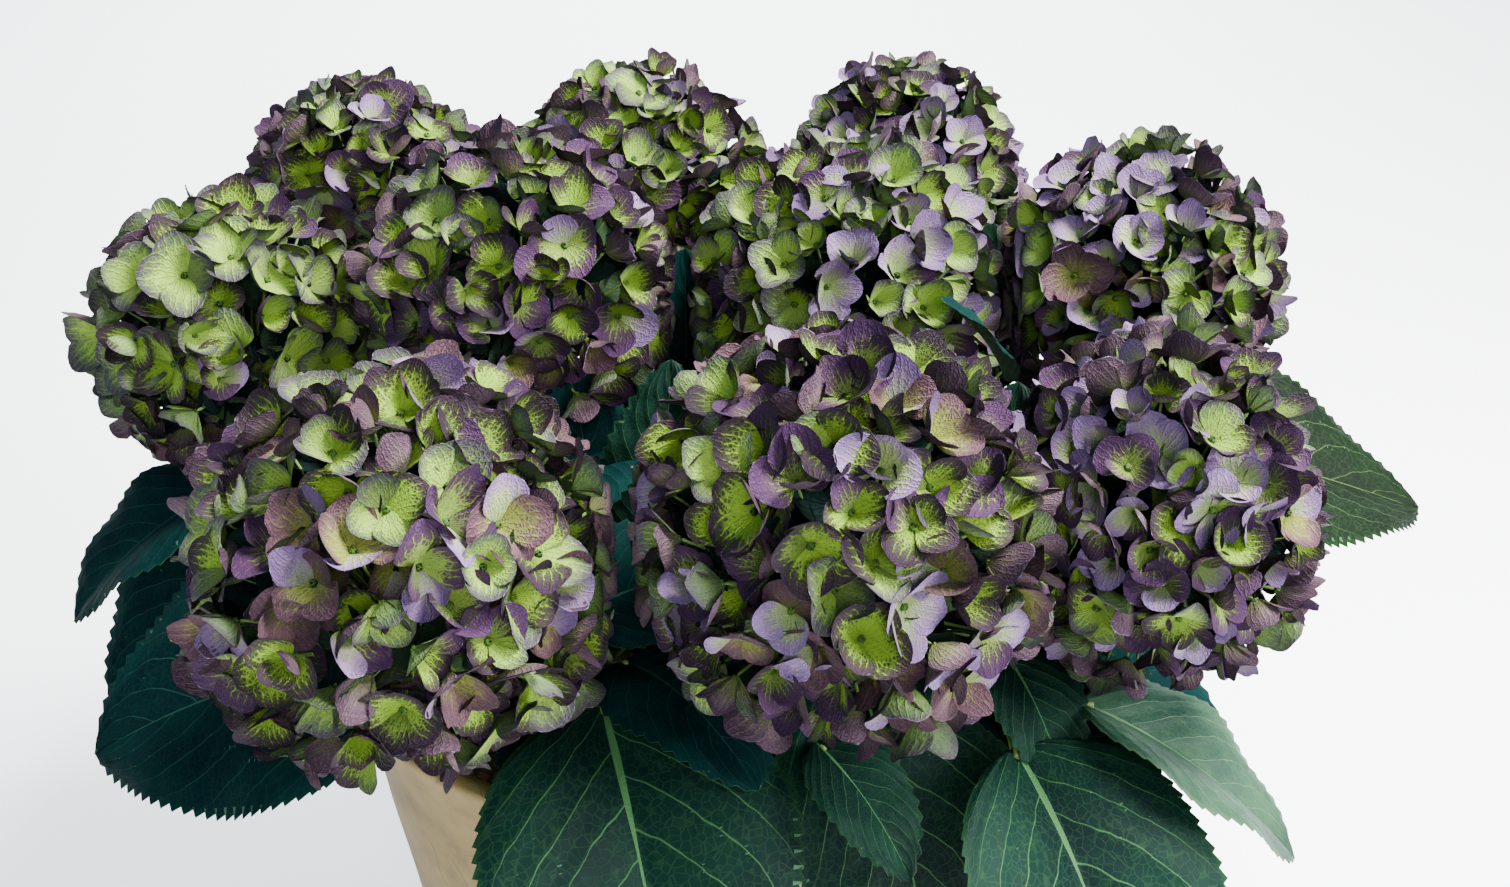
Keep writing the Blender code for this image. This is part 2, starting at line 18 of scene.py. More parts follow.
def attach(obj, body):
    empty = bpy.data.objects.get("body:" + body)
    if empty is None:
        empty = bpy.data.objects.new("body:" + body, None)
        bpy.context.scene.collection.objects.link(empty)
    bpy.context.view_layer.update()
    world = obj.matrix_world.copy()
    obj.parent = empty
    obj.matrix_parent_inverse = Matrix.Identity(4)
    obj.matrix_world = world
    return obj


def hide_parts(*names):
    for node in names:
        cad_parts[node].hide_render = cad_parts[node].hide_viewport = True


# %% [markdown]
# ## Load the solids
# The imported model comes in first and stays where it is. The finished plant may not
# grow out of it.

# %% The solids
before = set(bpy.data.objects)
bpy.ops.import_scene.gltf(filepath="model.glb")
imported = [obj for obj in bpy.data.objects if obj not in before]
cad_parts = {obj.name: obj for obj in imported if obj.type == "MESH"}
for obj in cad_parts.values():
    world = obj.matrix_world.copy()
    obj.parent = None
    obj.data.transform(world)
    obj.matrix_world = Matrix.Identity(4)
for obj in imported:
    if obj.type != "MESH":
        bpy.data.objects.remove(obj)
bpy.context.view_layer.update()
node_names = list(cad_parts)
print("solids:", len(node_names))

# %% [markdown]
# ## Camera
# A viewpoint a little above the plant, looking down by thirty degrees, takes in the heads
# from the front and their tops at once. The lens is close to a short standard lens, which
# lets the near heads look larger than those at the back.

# %% Camera
camera_data = bpy.data.cameras.new("viewpoint")
camera_data.lens = 34.57
viewpoint = bpy.data.objects.new("viewpoint", camera_data)
viewpoint.location = (0.07, -0.72, 0.881)
viewpoint.rotation_euler = (math.radians(60), 0.0, 0.0)
bpy.context.scene.collection.objects.link(viewpoint)
bpy.context.scene.camera = viewpoint
print("camera height:", viewpoint.location.z)

# %% [markdown]
# ## Floor and light
# A small strong light high on the right throws deep shade between the heads, which shows
# how round they are. Weaker lights from the front and from the right open that shade, and a
# wide one brightens the backdrop. Many even lights would be simpler, but a ball of petals
# looks flat in them. The floor is a plain pale sheet, and the surroundings are pale blue.

# %% Floor
FLOOR_SIZE = 14.0
FLOOR_COLOUR = (0.92, 0.92, 0.92, 1.0)
FLOOR_ROUGHNESS = 0.9
bpy.ops.mesh.primitive_plane_add(size=FLOOR_SIZE, location=(0.0, 0.0, 0.0))
floor = bpy.context.object
floor.name = "floor"
pale_floor = bpy.data.materials.new("pale_floor")
pale_floor.use_nodes = True
floor_shader = pale_floor.node_tree.nodes["Principled BSDF"]
floor_shader.inputs["Base Color"].default_value = FLOOR_COLOUR
floor_shader.inputs["Roughness"].default_value = FLOOR_ROUGHNESS
floor.data.materials.append(pale_floor)
print("floor side:", FLOOR_SIZE)

# %% Lights
# Where each light stands, what it faces, its width, its power and its colour.
LIGHTS = {
    "sky": ((0.86, 0.10, 2.05), (0.12, 0.0, 0.45), 0.7, 236.0, (1.0, 0.98, 0.97)),
    "front": ((0.50, -2.30, 1.70), (0.0, 0.0, 0.45), 1.0, 62.0, (0.96, 0.97, 1.0)),
    "side": ((2.00, -0.80, 1.60), (0.25, 0.0, 0.50), 0.8, 190.0, (0.98, 0.98, 1.0)),
    "backdrop": ((0.0, 3.60, 2.60), (0.0, 3.40, 0.0), 4.0, 700.0, (1.0, 1.0, 1.0)),
}
SURROUND_COLOUR = (0.46, 0.72, 1.0, 1.0)
SURROUND_STRENGTH = 0.74
for name, (place, aim, size, power, colour) in LIGHTS.items():
    light_data = bpy.data.lights.new(name, "AREA")
    light_data.size = size
    light_data.energy = power
    light_data.color = colour
    light = bpy.data.objects.new(name, light_data)
    light.location = place
    light.rotation_euler = (Vector(aim) - light.location).to_track_quat("-Z", "Y").to_euler()
    bpy.context.scene.collection.objects.link(light)
world = bpy.context.scene.world or bpy.data.worlds.new("studio")
bpy.context.scene.world = world
world.use_nodes = True
surroundings = world.node_tree.nodes["Background"]
surroundings.inputs["Color"].default_value = SURROUND_COLOUR
surroundings.inputs["Strength"].default_value = SURROUND_STRENGTH
print("lights:", len(LIGHTS))

# %% [markdown]
# ## One mesh from many small parts
# A hydrangea has thousands of petals. One Blender object for each would be slow, so the
# points and faces of all of them are gathered in arrays and make one mesh at the end. A
# small part may also have its place on a map of tiles, from which its finish reads colours.

# %% A gathering of parts
class Gathering:
    """Points, four-cornered faces, map places and finishes of many parts, for one mesh."""

    def __init__(self):
        self.points = []
        self.quads = []
        self.places = []
        self.finishes = []
        self.count = 0

    def add(self, points, quads, places=None, finish=0):
        """One more part; its finish is one number, or one for each face."""
        self.points.append(points)
        self.quads.append(quads + self.count)
        self.places.append(np.zeros((len(points), 2)) if places is None else places)
        self.finishes.append(np.full(len(quads), finish))
        self.count += len(points)

    def make(self, name, materials, stands_for, mapped=True):
        """The mesh of all parts, riding on the plant in place of the solids it stands for."""
        quads = np.concatenate(self.quads)
        mesh = bpy.data.meshes.new(name)
        mesh.vertices.add(self.count)
        mesh.vertices.foreach_set("co", np.concatenate(self.points).astype(np.float32).ravel())
        mesh.loops.add(quads.size)
        mesh.loops.foreach_set("vertex_index", quads.astype(np.int32).ravel())
        mesh.polygons.add(len(quads))
        mesh.polygons.foreach_set("loop_start", np.arange(0, quads.size, 4, dtype=np.int32))
        mesh.polygons.foreach_set("material_index", np.concatenate(self.finishes).astype(np.int32))
        if mapped:
            places = np.concatenate(self.places)[quads.ravel()]
            mesh.uv_layers.new(name="OFBake").data.foreach_set("uv", places.astype(np.float32).ravel())
        mesh.update(calc_edges=True)
        mesh.validate()
        for material in materials:
            mesh.materials.append(material)
        mesh.shade_smooth()
        piece = bpy.data.objects.new(name, mesh)
        bpy.context.scene.collection.objects.link(piece)
        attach(piece, "root")
        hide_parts(*stands_for)
        print(name, "triangles:", len(quads) * 2)


def grid_quads(rows, columns, wrap=False):
    """Faces of a grid of points kept row by row; a wrapped grid closes on itself sideways."""
    steps = columns if wrap else columns - 1
    row, column = np.meshgrid(np.arange(rows - 1), np.arange(steps), indexing="ij")
    after = (column + 1) % columns
    low = row * columns
    high = low + columns
    corners = (low + column, low + after, high + after, high + column)
    return np.stack(corners, axis=-1).reshape(-1, 4)


print("face of a small grid:", grid_quads(2, 2).tolist())

# %% [markdown]
# ## Finishes as short recipes
# Blender builds a material from nodes. Written out in full a leaf would take pages, so a
# small helper adds one node a line and hands back its output for the next line. Values that
# are the same all over a surface are set straight on the shader.

# %% Colours
def rgba(colour):
    """A colour from 0 to 255 as shown on a screen, as the light values that nodes take."""
    shown = [part / 255 for part in colour]
    light = [part / 12.92 if part <= 0.04 else ((part + 0.055) / 1.055) ** 2.4 for part in shown]
    return (*light, 1.0)


print("mid grey as light:", round(rgba((128, 128, 128))[0], 3))


# %% A recipe helper
class Recipe:
    """One material, written as lines that each add a node."""

    def __init__(self, name, roughness, specular, sheen=0.0, sheen_tint=(1.0, 1.0, 1.0)):
        self.material = bpy.data.materials.new(name)
        self.material.use_nodes = True
        self.tree = self.material.node_tree
        self.shader = self.tree.nodes["Principled BSDF"]
        self.shader.inputs["Roughness"].default_value = roughness
        self.shader.inputs["Specular IOR Level"].default_value = specular
        self.shader.inputs["Sheen Weight"].default_value = sheen
        self.shader.inputs["Sheen Tint"].default_value = (*sheen_tint, 1.0)

    def node(self, kind, inputs=(), output=0, **settings):
        """A new node with its inputs set or linked; hands back one of its outputs."""
        made = self.tree.nodes.new("ShaderNode" + kind)
        for key, value in settings.items():
            setattr(made, key, value)
        for socket, value in inputs:
            if isinstance(value, bpy.types.NodeSocket):
                self.tree.links.new(value, made.inputs[socket])
            else:
                made.inputs[socket].default_value = value
        return made.outputs[output]

    def reckon(self, operation, *values):
        return self.node("Math", enumerate(values), operation=operation)

    def times(self, first, second):
        return self.reckon("MULTIPLY", first, second)

    def plus(self, first, second):
        return self.reckon("ADD", first, second)

    def minus(self, first, second):
        return self.reckon("SUBTRACT", first, second)

    def ease(self, value, low, high, start=0.0, end=1.0):
        """A smooth step from start to end while the value goes from low to high."""
        inputs = [(0, value), (1, low), (2, high), (3, start), (4, end)]
        return self.node("MapRange", inputs, interpolation_type="SMOOTHSTEP")

    def blend(self, share, *pair):
        """A mixture of two colours, each a socket or a colour as shown on a screen."""
        first, second = (rgba(colour) if isinstance(colour, tuple) else colour for colour in pair)
        return self.node("Mix", [(0, share), (6, first), (7, second)], 2, data_type="RGBA")

    def cloud(self, place, scale, detail=2.0, rough=0.5):
        inputs = [("Vector", place), ("Scale", scale), ("Detail", detail), ("Roughness", rough)]
        return self.node("TexNoise", inputs)

    def net(self, place, scale, width=0.10):
        """Lines of a fine net: one on the lines and nothing between them."""
        inputs = [("Vector", place), ("Scale", scale)]
        edge = self.node("TexVoronoi", inputs, feature="DISTANCE_TO_EDGE")
        return self.ease(edge, 0.0, width, 1.0, 0.0)

    def scaled(self, place, scales):
        return self.node("VectorMath", [(0, place), (1, scales)], operation="MULTIPLY")

    def on_plant(self):
        """Where a point is on the plant, in metres."""
        return self.node("TexCoord", (), 3)

    def on_tile(self, tiles):
        """The place on a map of tiles, how many tiles over it is, and how far over and up its own."""
        place = self.node("UVMap", (), uv_map="OFBake")
        parts = self.tree.nodes.new("ShaderNodeSeparateXYZ")
        self.tree.links.new(place, parts.inputs[0])
        over, up = [self.times(parts.outputs[axis], float(tiles)) for axis in (0, 1)]
        return place, over, self.reckon("FRACT", over), self.reckon("FRACT", up)

    def finish(self, colour, relief, depth, strength):
        """Colour and fine relief reach the shader, and the material is done."""
        self.tree.links.new(colour, self.shader.inputs["Base Color"])
        inputs = [("Strength", strength), ("Distance", depth), ("Height", relief)]
        self.tree.links.new(self.node("Bump", inputs), self.shader.inputs["Normal"])
        return self.material


print("recipe helper ready")

# %% [markdown]
# ## The pot
# The real pot looks hand formed: a tall, tapering wall of cream clay or plaster that is a
# little uneven, with soft mottling and a few hair-thin crease lines. It could be spun from a
# curve, but a spun wall is too perfect. Here a ring of points is pushed in and out by slow
# noise at each height, while the foot stays flat so that the pot stands still.

# %% Pot sizes
POT_HEIGHT = 0.350
POT_FOOT_RADIUS = 0.137
POT_RIM_RADIUS = 0.173
POT_WALL = 0.010
POT_FLOOR = 0.016
POT_LIP_STAND = 0.004
POT_LIP_FROM = 0.86
POT_SIDES = 128
POT_STEPS = 41
POT_UNEVEN = 0.0022
POT_RIM_UNEVEN = 0.0018
POT_RIM_FROM = 0.97
# How fine the slow and the quick noise are, around the wall and up it.
SLOW_NOISE = (1.7, 9.0)
QUICK_NOISE = (5.0, 22.0)
QUICK_SHARE = 0.4
POT_CENTRE = 0.002
# The foot from its middle outward, the rounded lip as steps inward and down from its
# outermost top, each with a share of the unevenness, and the levels of the inside.
POT_FOOT = ((POT_CENTRE, 0.0, 0.0), (0.07, 0.0, 0.0), (0.133, 0.0, 0.0), (0.1358, 0.0012, 0.2))
POT_LIP = ((0.0, 0.004, 0.9), (0.0012, 0.0012, 0.8), (0.0045, 0.0, 0.7))
POT_LIP += ((0.010, 0.001, 0.7), (0.0125, 0.005, 0.7))
POT_INSIDE = (0.9, 0.7, 0.4, 0.05)
print("pot across its rim:", 2 * POT_RIM_RADIUS)

# %% Clay finish
CLAY = {"pale": (114, 97, 54), "dark": (88, 71, 36), "stain": (76, 60, 36), "crease": (62, 50, 34)}


def clay_finish():
    """Cream clay: slow mottling, finer stains, and hair-thin creases here and there."""
    recipe = Recipe("cream_clay", 0.72, 0.3)
    place = recipe.on_plant()
    slow = recipe.cloud(place, 9.0, 4.0, 0.6)
    fine = recipe.cloud(place, 60.0, 5.0, 0.7)
    colour = recipe.blend(recipe.ease(slow, 0.35, 0.65), CLAY["pale"], CLAY["dark"])
    colour = recipe.blend(recipe.ease(fine, 0.45, 0.75, 0.0, 0.5), colour, CLAY["stain"])
    bend = recipe.node("TexNoise", [("Vector", place), ("Scale", 7.0)], 1)
    bent = recipe.node("VectorMath", [(0, place), (1, bend)], operation="ADD")
    shown = recipe.ease(recipe.cloud(place, 14.0), 0.48, 0.60)
    creases = recipe.times(recipe.net(bent, 5.0, 0.012), shown)
    colour = recipe.blend(recipe.times(creases, 0.45), colour, CLAY["crease"])
    relief = recipe.minus(recipe.plus(slow, recipe.times(fine, 0.35)), creases)
    return recipe.finish(colour, relief, 0.0016, 0.45)


cream_clay = clay_finish()
print("finish:", cream_clay.name)


# %% Pot mesh
UP = Vector((0.0, 0.0, 1.0))


def wall_radius(share):
    """Radius of the tapering wall at a share of the pot's height."""
    return POT_FOOT_RADIUS + (POT_RIM_RADIUS - POT_FOOT_RADIUS) * share


def pot_profile():
    """Radius, height and unevenness of the pot from the middle of its foot to its inside floor."""
    profile = list(POT_FOOT)
    for step in range(1, POT_STEPS):
        share = step / POT_STEPS
        swell = POT_LIP_STAND * max(0.0, share - POT_LIP_FROM) / (1.0 - POT_LIP_FROM)
        profile.append((wall_radius(share) + swell, POT_HEIGHT * share, 1.0))
    lip = POT_RIM_RADIUS + POT_LIP_STAND
    profile += [(lip - inward, POT_HEIGHT - down, uneven) for inward, down, uneven in POT_LIP]
    profile += [(wall_radius(share) - POT_WALL, POT_HEIGHT * share, 0.5) for share in POT_INSIDE]
    return profile + [(POT_CENTRE, POT_FLOOR, 0.0)]


def pot_points():
    """Rings of points for the whole profile, each pushed in and out by slow noise."""
    points = []
    for radius, height, uneven in pot_profile():
        for side in range(POT_SIDES):
            turn = math.tau * side / POT_SIDES
            spoke = Vector((math.cos(turn), math.sin(turn), 0.0))
            slow = noise.noise(spoke * SLOW_NOISE[0] + UP * (height * SLOW_NOISE[1]))
            quick = noise.noise(spoke * QUICK_NOISE[0] + Vector((3.0, 0.0, height * QUICK_NOISE[1])))
            push = POT_UNEVEN * uneven * (slow + QUICK_SHARE * quick)
            rise = POT_RIM_UNEVEN * (slow - 0.5) if height > POT_HEIGHT * POT_RIM_FROM else 0.0
            points.append(spoke * (radius + push) + UP * (height + rise))
    return np.array(points)


pot = Gathering()
pot.add(pot_points(), grid_quads(len(pot_profile()), POT_SIDES, True))
pot.make("hand_formed_pot", [cream_clay], ["pot"], False)

# %% [markdown]
# ## Stems, and the rule they grow by
# Each stem is a smooth curve from the soil to the middle of its flower head. The curve's
# length is measured step by step, so that a leaf can be placed at a share of it. These
# functions repeat the rule of the solids, number for number.

# %% Sizes of the crown
CONTACT_GAP = 0.0003
SOIL_TOP = 0.322
HEADS = {
    "back_left": ((-0.185, 0.200, 0.546), 0.085, 1.00),
    "back_middle": ((-0.004, 0.187, 0.554), 0.087, 1.00),
    "back_right": ((0.170, 0.203, 0.552), 0.087, 1.00),
    "middle_left": ((-0.232, 0.050, 0.508), 0.090, 1.12),
    "inner_left": ((-0.064, 0.043, 0.545), 0.100, 0.94),
    "inner_right": ((0.122, 0.048, 0.538), 0.101, 0.94),
    "middle_right": ((0.292, 0.059, 0.540), 0.092, 1.00),
    "front_left": ((-0.093, -0.165, 0.492), 0.109, 1.00),
    "front_middle": ((0.109, -0.149, 0.502), 0.109, 1.00),
    "front_right": ((0.269, -0.108, 0.490), 0.088, 1.24),
}
SIDE_SHOOTS = {
    "front": (-0.020, -0.112, 0.398),
    "right": (0.210, -0.128, 0.394),
    "rear_left": (-0.098, 0.222, 0.430),
    "rear_right": (0.086, 0.230, 0.430),
}
CANE_FOOT_SPREAD = 0.36
SIDE_FOOT_SPREAD = 0.24
CANE_FOOT_LIMIT = 0.115
CANE_SHARE = 0.45
CANE_RADII = (0.0062, 0.0048)
SHOOT_RADII = (0.0045, 0.0036)
STALK_RADII = (0.0034, 0.0028)
STEM_SIDES = 6
TUBE_TURN = 0.37
CANE_RINGS = 5
SHOOT_RINGS = 4
PATH_STEPS = 200
FOOT_RISE_SHARE = 0.35
FOOT_LEAN_SHARE = 0.06
HEAD_LEAN = 0.30
LEAN_EASES_WITHIN = 0.05
TOP_RISE_SHARE = 0.25
TOP_HEAD_SHARE = 0.60
SQUARE_GUIDE = (0.0, 1.0, 0.02)
STALK_INSIDE_SHARE = 0.45
print("heads:", len(HEADS), "side shoots:", len(SIDE_SHOOTS))


# %% Stem curves
def bezier(corners, share):
    """A point on the cubic curve through four control points."""
    rest = 1.0 - share
    return (
        corners[0] * rest**3
        + corners[1] * (3 * rest**2 * share)
        + corners[2] * (3 * rest * share**2)
        + corners[3] * share**3
    )


def stem_path(top, radius):
    """Points up the middle of one stem, from the soil to the middle of its top."""
    top = Vector(top)
    out = Vector((top.x, top.y, 0.0))
    foot = out * (CANE_FOOT_SPREAD if radius > 0.0 else SIDE_FOOT_SPREAD)
    if foot.length > CANE_FOOT_LIMIT:
        foot = foot.normalized() * CANE_FOOT_LIMIT
    foot.z = SOIL_TOP + CONTACT_GAP
    rise = top.z - foot.z
    outward = out * HEAD_LEAN / max(out.length, LEAN_EASES_WITHIN)
    lean = (outward + UP).normalized()
    corners = (
        foot,
        foot + UP * (rise * FOOT_RISE_SHARE) + out * FOOT_LEAN_SHARE,
        top - lean * (rise * TOP_RISE_SHARE + radius * TOP_HEAD_SHARE),
        top,
    )
    return [bezier(corners, step / PATH_STEPS) for step in range(PATH_STEPS + 1)]


def path_lengths(path):
    lengths = [0.0]
    for before, after in zip(path, path[1:]):
        lengths.append(lengths[-1] + (after - before).length)
    return lengths


def point_along(path, lengths, distance):
    """Place and direction on a path at a distance from its foot."""
    index = 1
    while lengths[index] < distance and index < len(path) - 1:
        index += 1
    share = (distance - lengths[index - 1]) / (lengths[index] - lengths[index - 1])
    step = path[index] - path[index - 1]
    return path[index - 1] + step * share, step.normalized()


# %% Tubes that the rule tests against
def across(direction):
    """Two directions square to a stem's own."""
    first = direction.cross(Vector(SQUARE_GUIDE)).normalized()
    return first, direction.cross(first).normalized()


def tube(stations, radii, sides):
    """A tapering tube with flat ends, from (place, direction) stations."""
    points = []
    for (place, direction), radius in zip(stations, radii):
        first, second = across(direction)
        for side in range(sides):
            turn = 2.0 * math.pi * (side + TUBE_TURN) / sides
            spoke = first * math.cos(turn) + second * math.sin(turn)
            points.append(place + spoke * radius)
    faces = []
    for ring in range(len(stations) - 1):
        for side in range(sides):
            after = (side + 1) % sides
            low = ring * sides
            high = low + sides
            faces.append((low + side, low + after, high + after, high + side))
    faces.append(tuple(range(sides)))
    faces.append(tuple(len(points) - sides + side for side in range(sides)))
    return points, faces


def stem_tube(path, lengths, start, end, radii, rings):
    """The tube of one stretch of a stem, tapering evenly; on the soil it is cut level."""
    stations = []
    widths = []
    for ring in range(rings):
        share = ring / (rings - 1)
        place, direction = point_along(path, lengths, start + (end - start) * share)
        if start == 0.0 and ring == 0:
            direction = UP
        stations.append((place, direction))
        widths.append(radii[0] + (radii[1] - radii[0]) * share)
    return tube(stations, widths, STEM_SIDES)


# %% A stem
class Stem:
    """One cane with what it carries: the path, and where cane and shoot end."""

    def __init__(self, name, top, radius=0.0, tall=1.0):
        self.name = name
        self.top = Vector(top)
        self.radius = radius
        self.tall = tall
        self.path = stem_path(top, radius)
        self.lengths = path_lengths(self.path)
        self.end = self.lengths[-1]
        if radius > 0.0:
            for index, place in enumerate(self.path):
                if (place - self.top).length <= radius * tall:
                    self.end = self.lengths[index]
                    break
        self.cane_end = self.end * CANE_SHARE

    def at(self, distance):
        return point_along(self.path, self.lengths, distance)

    def cane(self):
        return stem_tube(self.path, self.lengths, 0.0, self.cane_end, CANE_RADII, CANE_RINGS)

    def shoot(self):
        start = self.cane_end + CONTACT_GAP
        return stem_tube(self.path, self.lengths, start, self.end, SHOOT_RADII, SHOOT_RINGS)

    def stalk(self):
        start = self.end + CONTACT_GAP
        inside = self.lengths[-1] - self.radius * STALK_INSIDE_SHARE
        return stem_tube(self.path, self.lengths, start, inside, STALK_RADII, 2)


stems = [Stem(name, *place) for name, place in HEADS.items()]
stems += [Stem(name, tip) for name, tip in SIDE_SHOOTS.items()]
print("longest stem:", round(max(stem.end for stem in stems), 3))

# %% [markdown]
# ## Where leaves grow
# Hydrangea leaves stand in opposite pairs, each pair square to the one below. Leaves that
# face out are long and droop; those inside are short. A leaf that would touch another, a
# flower head or the pot is turned or shortened a little, and left out if that doesn't help.
# The leaves that show in front are given one by one; the rest come from the rule.

# %% Leaf sizes and the rule's numbers
HEAD_KEEP = 0.92
KEEP_FINENESS = 3
LEAF_WIDTH_SHARE = 0.72
LEAF_THICK_SHARE = 0.016
LEAF_STATIONS = (0.16, 0.46, 0.78)
LEAF_FOLD = math.radians(12)
BLADE_BELLY = 0.78
BLADE_FULLNESS = 0.72
BLADE_TIP_TAPER = 0.16
PETIOLE_LENGTH = 0.042
PETIOLE_OVERLAP = 0.007
PETIOLE_RADII = (0.0027, 0.0019)
LEAF_CLEARANCE = 0.0016
PETIOLE_FREE = 0.012
NODE_PLACES = (0.30, 0.86, 0.05)
OUTER_LEAF = 0.172
INNER_LEAF = 0.118
PAIR_TURNS = {1: 62, 0: -18, 2: 52}
PAIR_SWAY = (-12, 12)
PAIR_SIZES = (0.88, 1.06)
BASE_PITCHES = (-10, 6)
OUTER_DROOPS = (38, 62)
INNER_DROOPS = (20, 34)
BLADE_ROLLS = (-8, 8)
STALK_ABOVE_BLADE = 10
OUTWARD_LIMIT = -0.2
LEAF_SEED = 7
POT_SPACE_SIDES = 32
# Leaves that the front of the plant shows plainly, as they grow there: node, azimuth of the
# stalk, swing of the blade from it, length, pitch of stalk, of blade's base and of its tip,
# roll, and width as a share of the length; degrees and metres.
SHOWN_LEAVES = {
    "front": [
        (1, -74, 2, 0.205, 8, -18, -74, 0, 0.82),
        (1, 112, 0, 0.100, 30, 20, -10, 0, 0.72),
        (0, -40, 16, 0.150, 20, 8, -50, 0, 0.76),
        (0, 196, 0, 0.120, 18, 6, -34, 0, 0.72),
    ],
    "front_left": [
        (1, 180, 0, 0.206, 6, -4, -36, -32, 0.80),
        (1, -14, 4, 0.112, 18, 6, -18, 22, 0.82),
        (0, 150, 0, 0.120, 0, -5, -40, 0, 0.72),
    ],
    "front_middle": [
        (1, -2, -46, 0.190, 4, -20, -72, 0, 0.76),
        (1, 150, 0, 0.120, 8, 4, -24, 0, 0.72),
        (0, 60, 0, 0.120, 0, -10, -50, 0, 0.70),
    ],
    "right": [
        (1, -20, 0, 0.140, 12, -4, -42, -10, 0.70),
        (1, -88, 26, 0.190, 4, -14, -70, 0, 0.78),
        (0, 118, 0, 0.120, 5, 0, -50, 0, 0.72),
        (0, -40, 0, 0.130, 0, -10, -60, 0, 0.72),
    ],
    "front_right": [
        (1, 64, 0, 0.130, 10, 0, -30, 0, 0.76),
        (1, 202, 0, 0.110, 5, 0, -40, 0, 0.72),
        (0, -30, 0, 0.150, 0, -16, -64, 0, 0.74),
        (0, 118, 0, 0.130, 0, -6, -40, 0, 0.72),
    ],
    "inner_left": [
        (1, -100, 0, 0.110, 26, 20, -4, 0, 0.72),
        (1, 10, 0, 0.110, 30, 24, 0, 0, 0.72),
        (0, 205, 0, 0.140, 0, -6, -40, 0, 0.72),
        (0, 100, 0, 0.140, 0, -6, -40, 0, 0.72),
    ],
    "inner_right": [
        (1, -72, 0, 0.110, 28, 22, -2, 0, 0.72),
        (1, 20, 0, 0.110, 28, 20, -6, 0, 0.72),
        (0, 160, 0, 0.120, 0, -6, -40, 0, 0.72),
        (0, 80, 0, 0.140, 0, -6, -40, 0, 0.72),
    ],
    "middle_right": [
        (1, 6, 0, 0.240, -8, -12, -24, 14, 0.74),
        (1, 180, 0, 0.110, 10, 0, -40, 0, 0.72),
        (0, 60, 0, 0.170, 0, -10, -56, 0, 0.74),
        (0, -96, 0, 0.110, 0, -10, -50, 0, 0.72),
    ],
    "middle_left": [
        (1, 196, 0, 0.160, -4, -14, -40, -20, 0.76),
        (1, 25, 0, 0.110, 20, 10, -20, 0, 0.70),
        (0, 135, 0, 0.165, 2, -12, -62, 0, 0.72),
        (0, -48, 0, 0.110, 0, -8, -40, 0, 0.72),
    ],
}
print("stems with leaves given one by one:", len(SHOWN_LEAVES))


# %% A leaf's place and shape
def blade_half_width(share):
    """Half width of a blade, as a share of its widest, from its base to its tip."""
    return math.sin(math.pi * share**BLADE_BELLY) ** BLADE_FULLNESS * (1.0 - BLADE_TIP_TAPER * share)


def heading(turn, pitch):
    """The direction at an azimuth and a pitch above level."""
    level = math.cos(pitch)
    return Vector((math.cos(turn) * level, math.sin(turn) * level, math.sin(pitch)))


class Leaf:
    """One leaf: where it leaves its stem, and how its midrib turns and droops."""

    def __init__(self, place, turns, length, pitches, roll, width_share):
        self.kind = ""
        self.place = place
        self.length = length
        self.width = length * width_share
        stalk_pitch, self.start_pitch, self.end_pitch = pitches
        self.roll = roll
        self.stalk = heading(turns[0], stalk_pitch)
        self.out = heading(turns[1], 0.0)
        self.side = UP.cross(self.out)
        self.base = place + self.stalk * PETIOLE_LENGTH

    def ahead(self, pitch):
        return self.out * math.cos(pitch) + UP * math.sin(pitch)

    def midrib(self, share):
        """Place, sideways and upward directions on the midrib."""
        turn = self.end_pitch - self.start_pitch
        pitch = self.start_pitch + turn * share
        bend = self.length / turn
        along = bend * (math.sin(pitch) - math.sin(self.start_pitch))
        rise = bend * (math.cos(self.start_pitch) - math.cos(pitch))
        place = self.base + self.out * along + UP * rise
        up = UP * math.cos(pitch) - self.out * math.sin(pitch)
        side = self.side * math.cos(self.roll) + up * math.sin(self.roll)
        above = up * math.cos(self.roll) - self.side * math.sin(self.roll)
        return place, side, above

    def blade(self, swell=0.0):
        """The blade as a thin solid with sharp edges, swollen by a clearance where asked."""
        thick = self.length * LEAF_THICK_SHARE / 2 + swell
        place, side, above = self.midrib(0.0)
        points = [place - self.ahead(self.start_pitch) * swell]
        for share in LEAF_STATIONS:
            place, side, above = self.midrib(share)
            half = self.width / 2 * blade_half_width(share) + swell
            lift = half * math.sin(LEAF_FOLD)
            spread = half * math.cos(LEAF_FOLD)
            points.append(place + side * spread + above * lift)
            points.append(place + above * thick)
            points.append(place - side * spread + above * lift)
            points.append(place - above * thick)
        place, side, above = self.midrib(1.0)
        points.append(place + self.ahead(self.end_pitch) * swell)
        faces = []
        last = len(points) - 1
        for corner in range(4):
            after = (corner + 1) % 4
            faces.append((0, 1 + corner, 1 + after))
            faces.append((last, last - 4 + after, last - 4 + corner))
        for ring in range(len(LEAF_STATIONS) - 1):
            low = 1 + ring * 4
            for corner in range(4):
                after = (corner + 1) % 4
                faces.append((low + corner, low + 4 + corner, low + 4 + after))
                faces.append((low + corner, low + 4 + after, low + after))
        return points, faces

    def petiole(self, start=0.0):
        """The leaf's stalk, from inside the stem to just past the blade's foot."""
        stations = [
            (self.place + self.stalk * start, self.stalk),
            (self.base + self.stalk * PETIOLE_OVERLAP, self.stalk),
        ]
        return tube(stations, PETIOLE_RADII, 3)


print("half width at mid blade:", round(blade_half_width(0.5), 2))


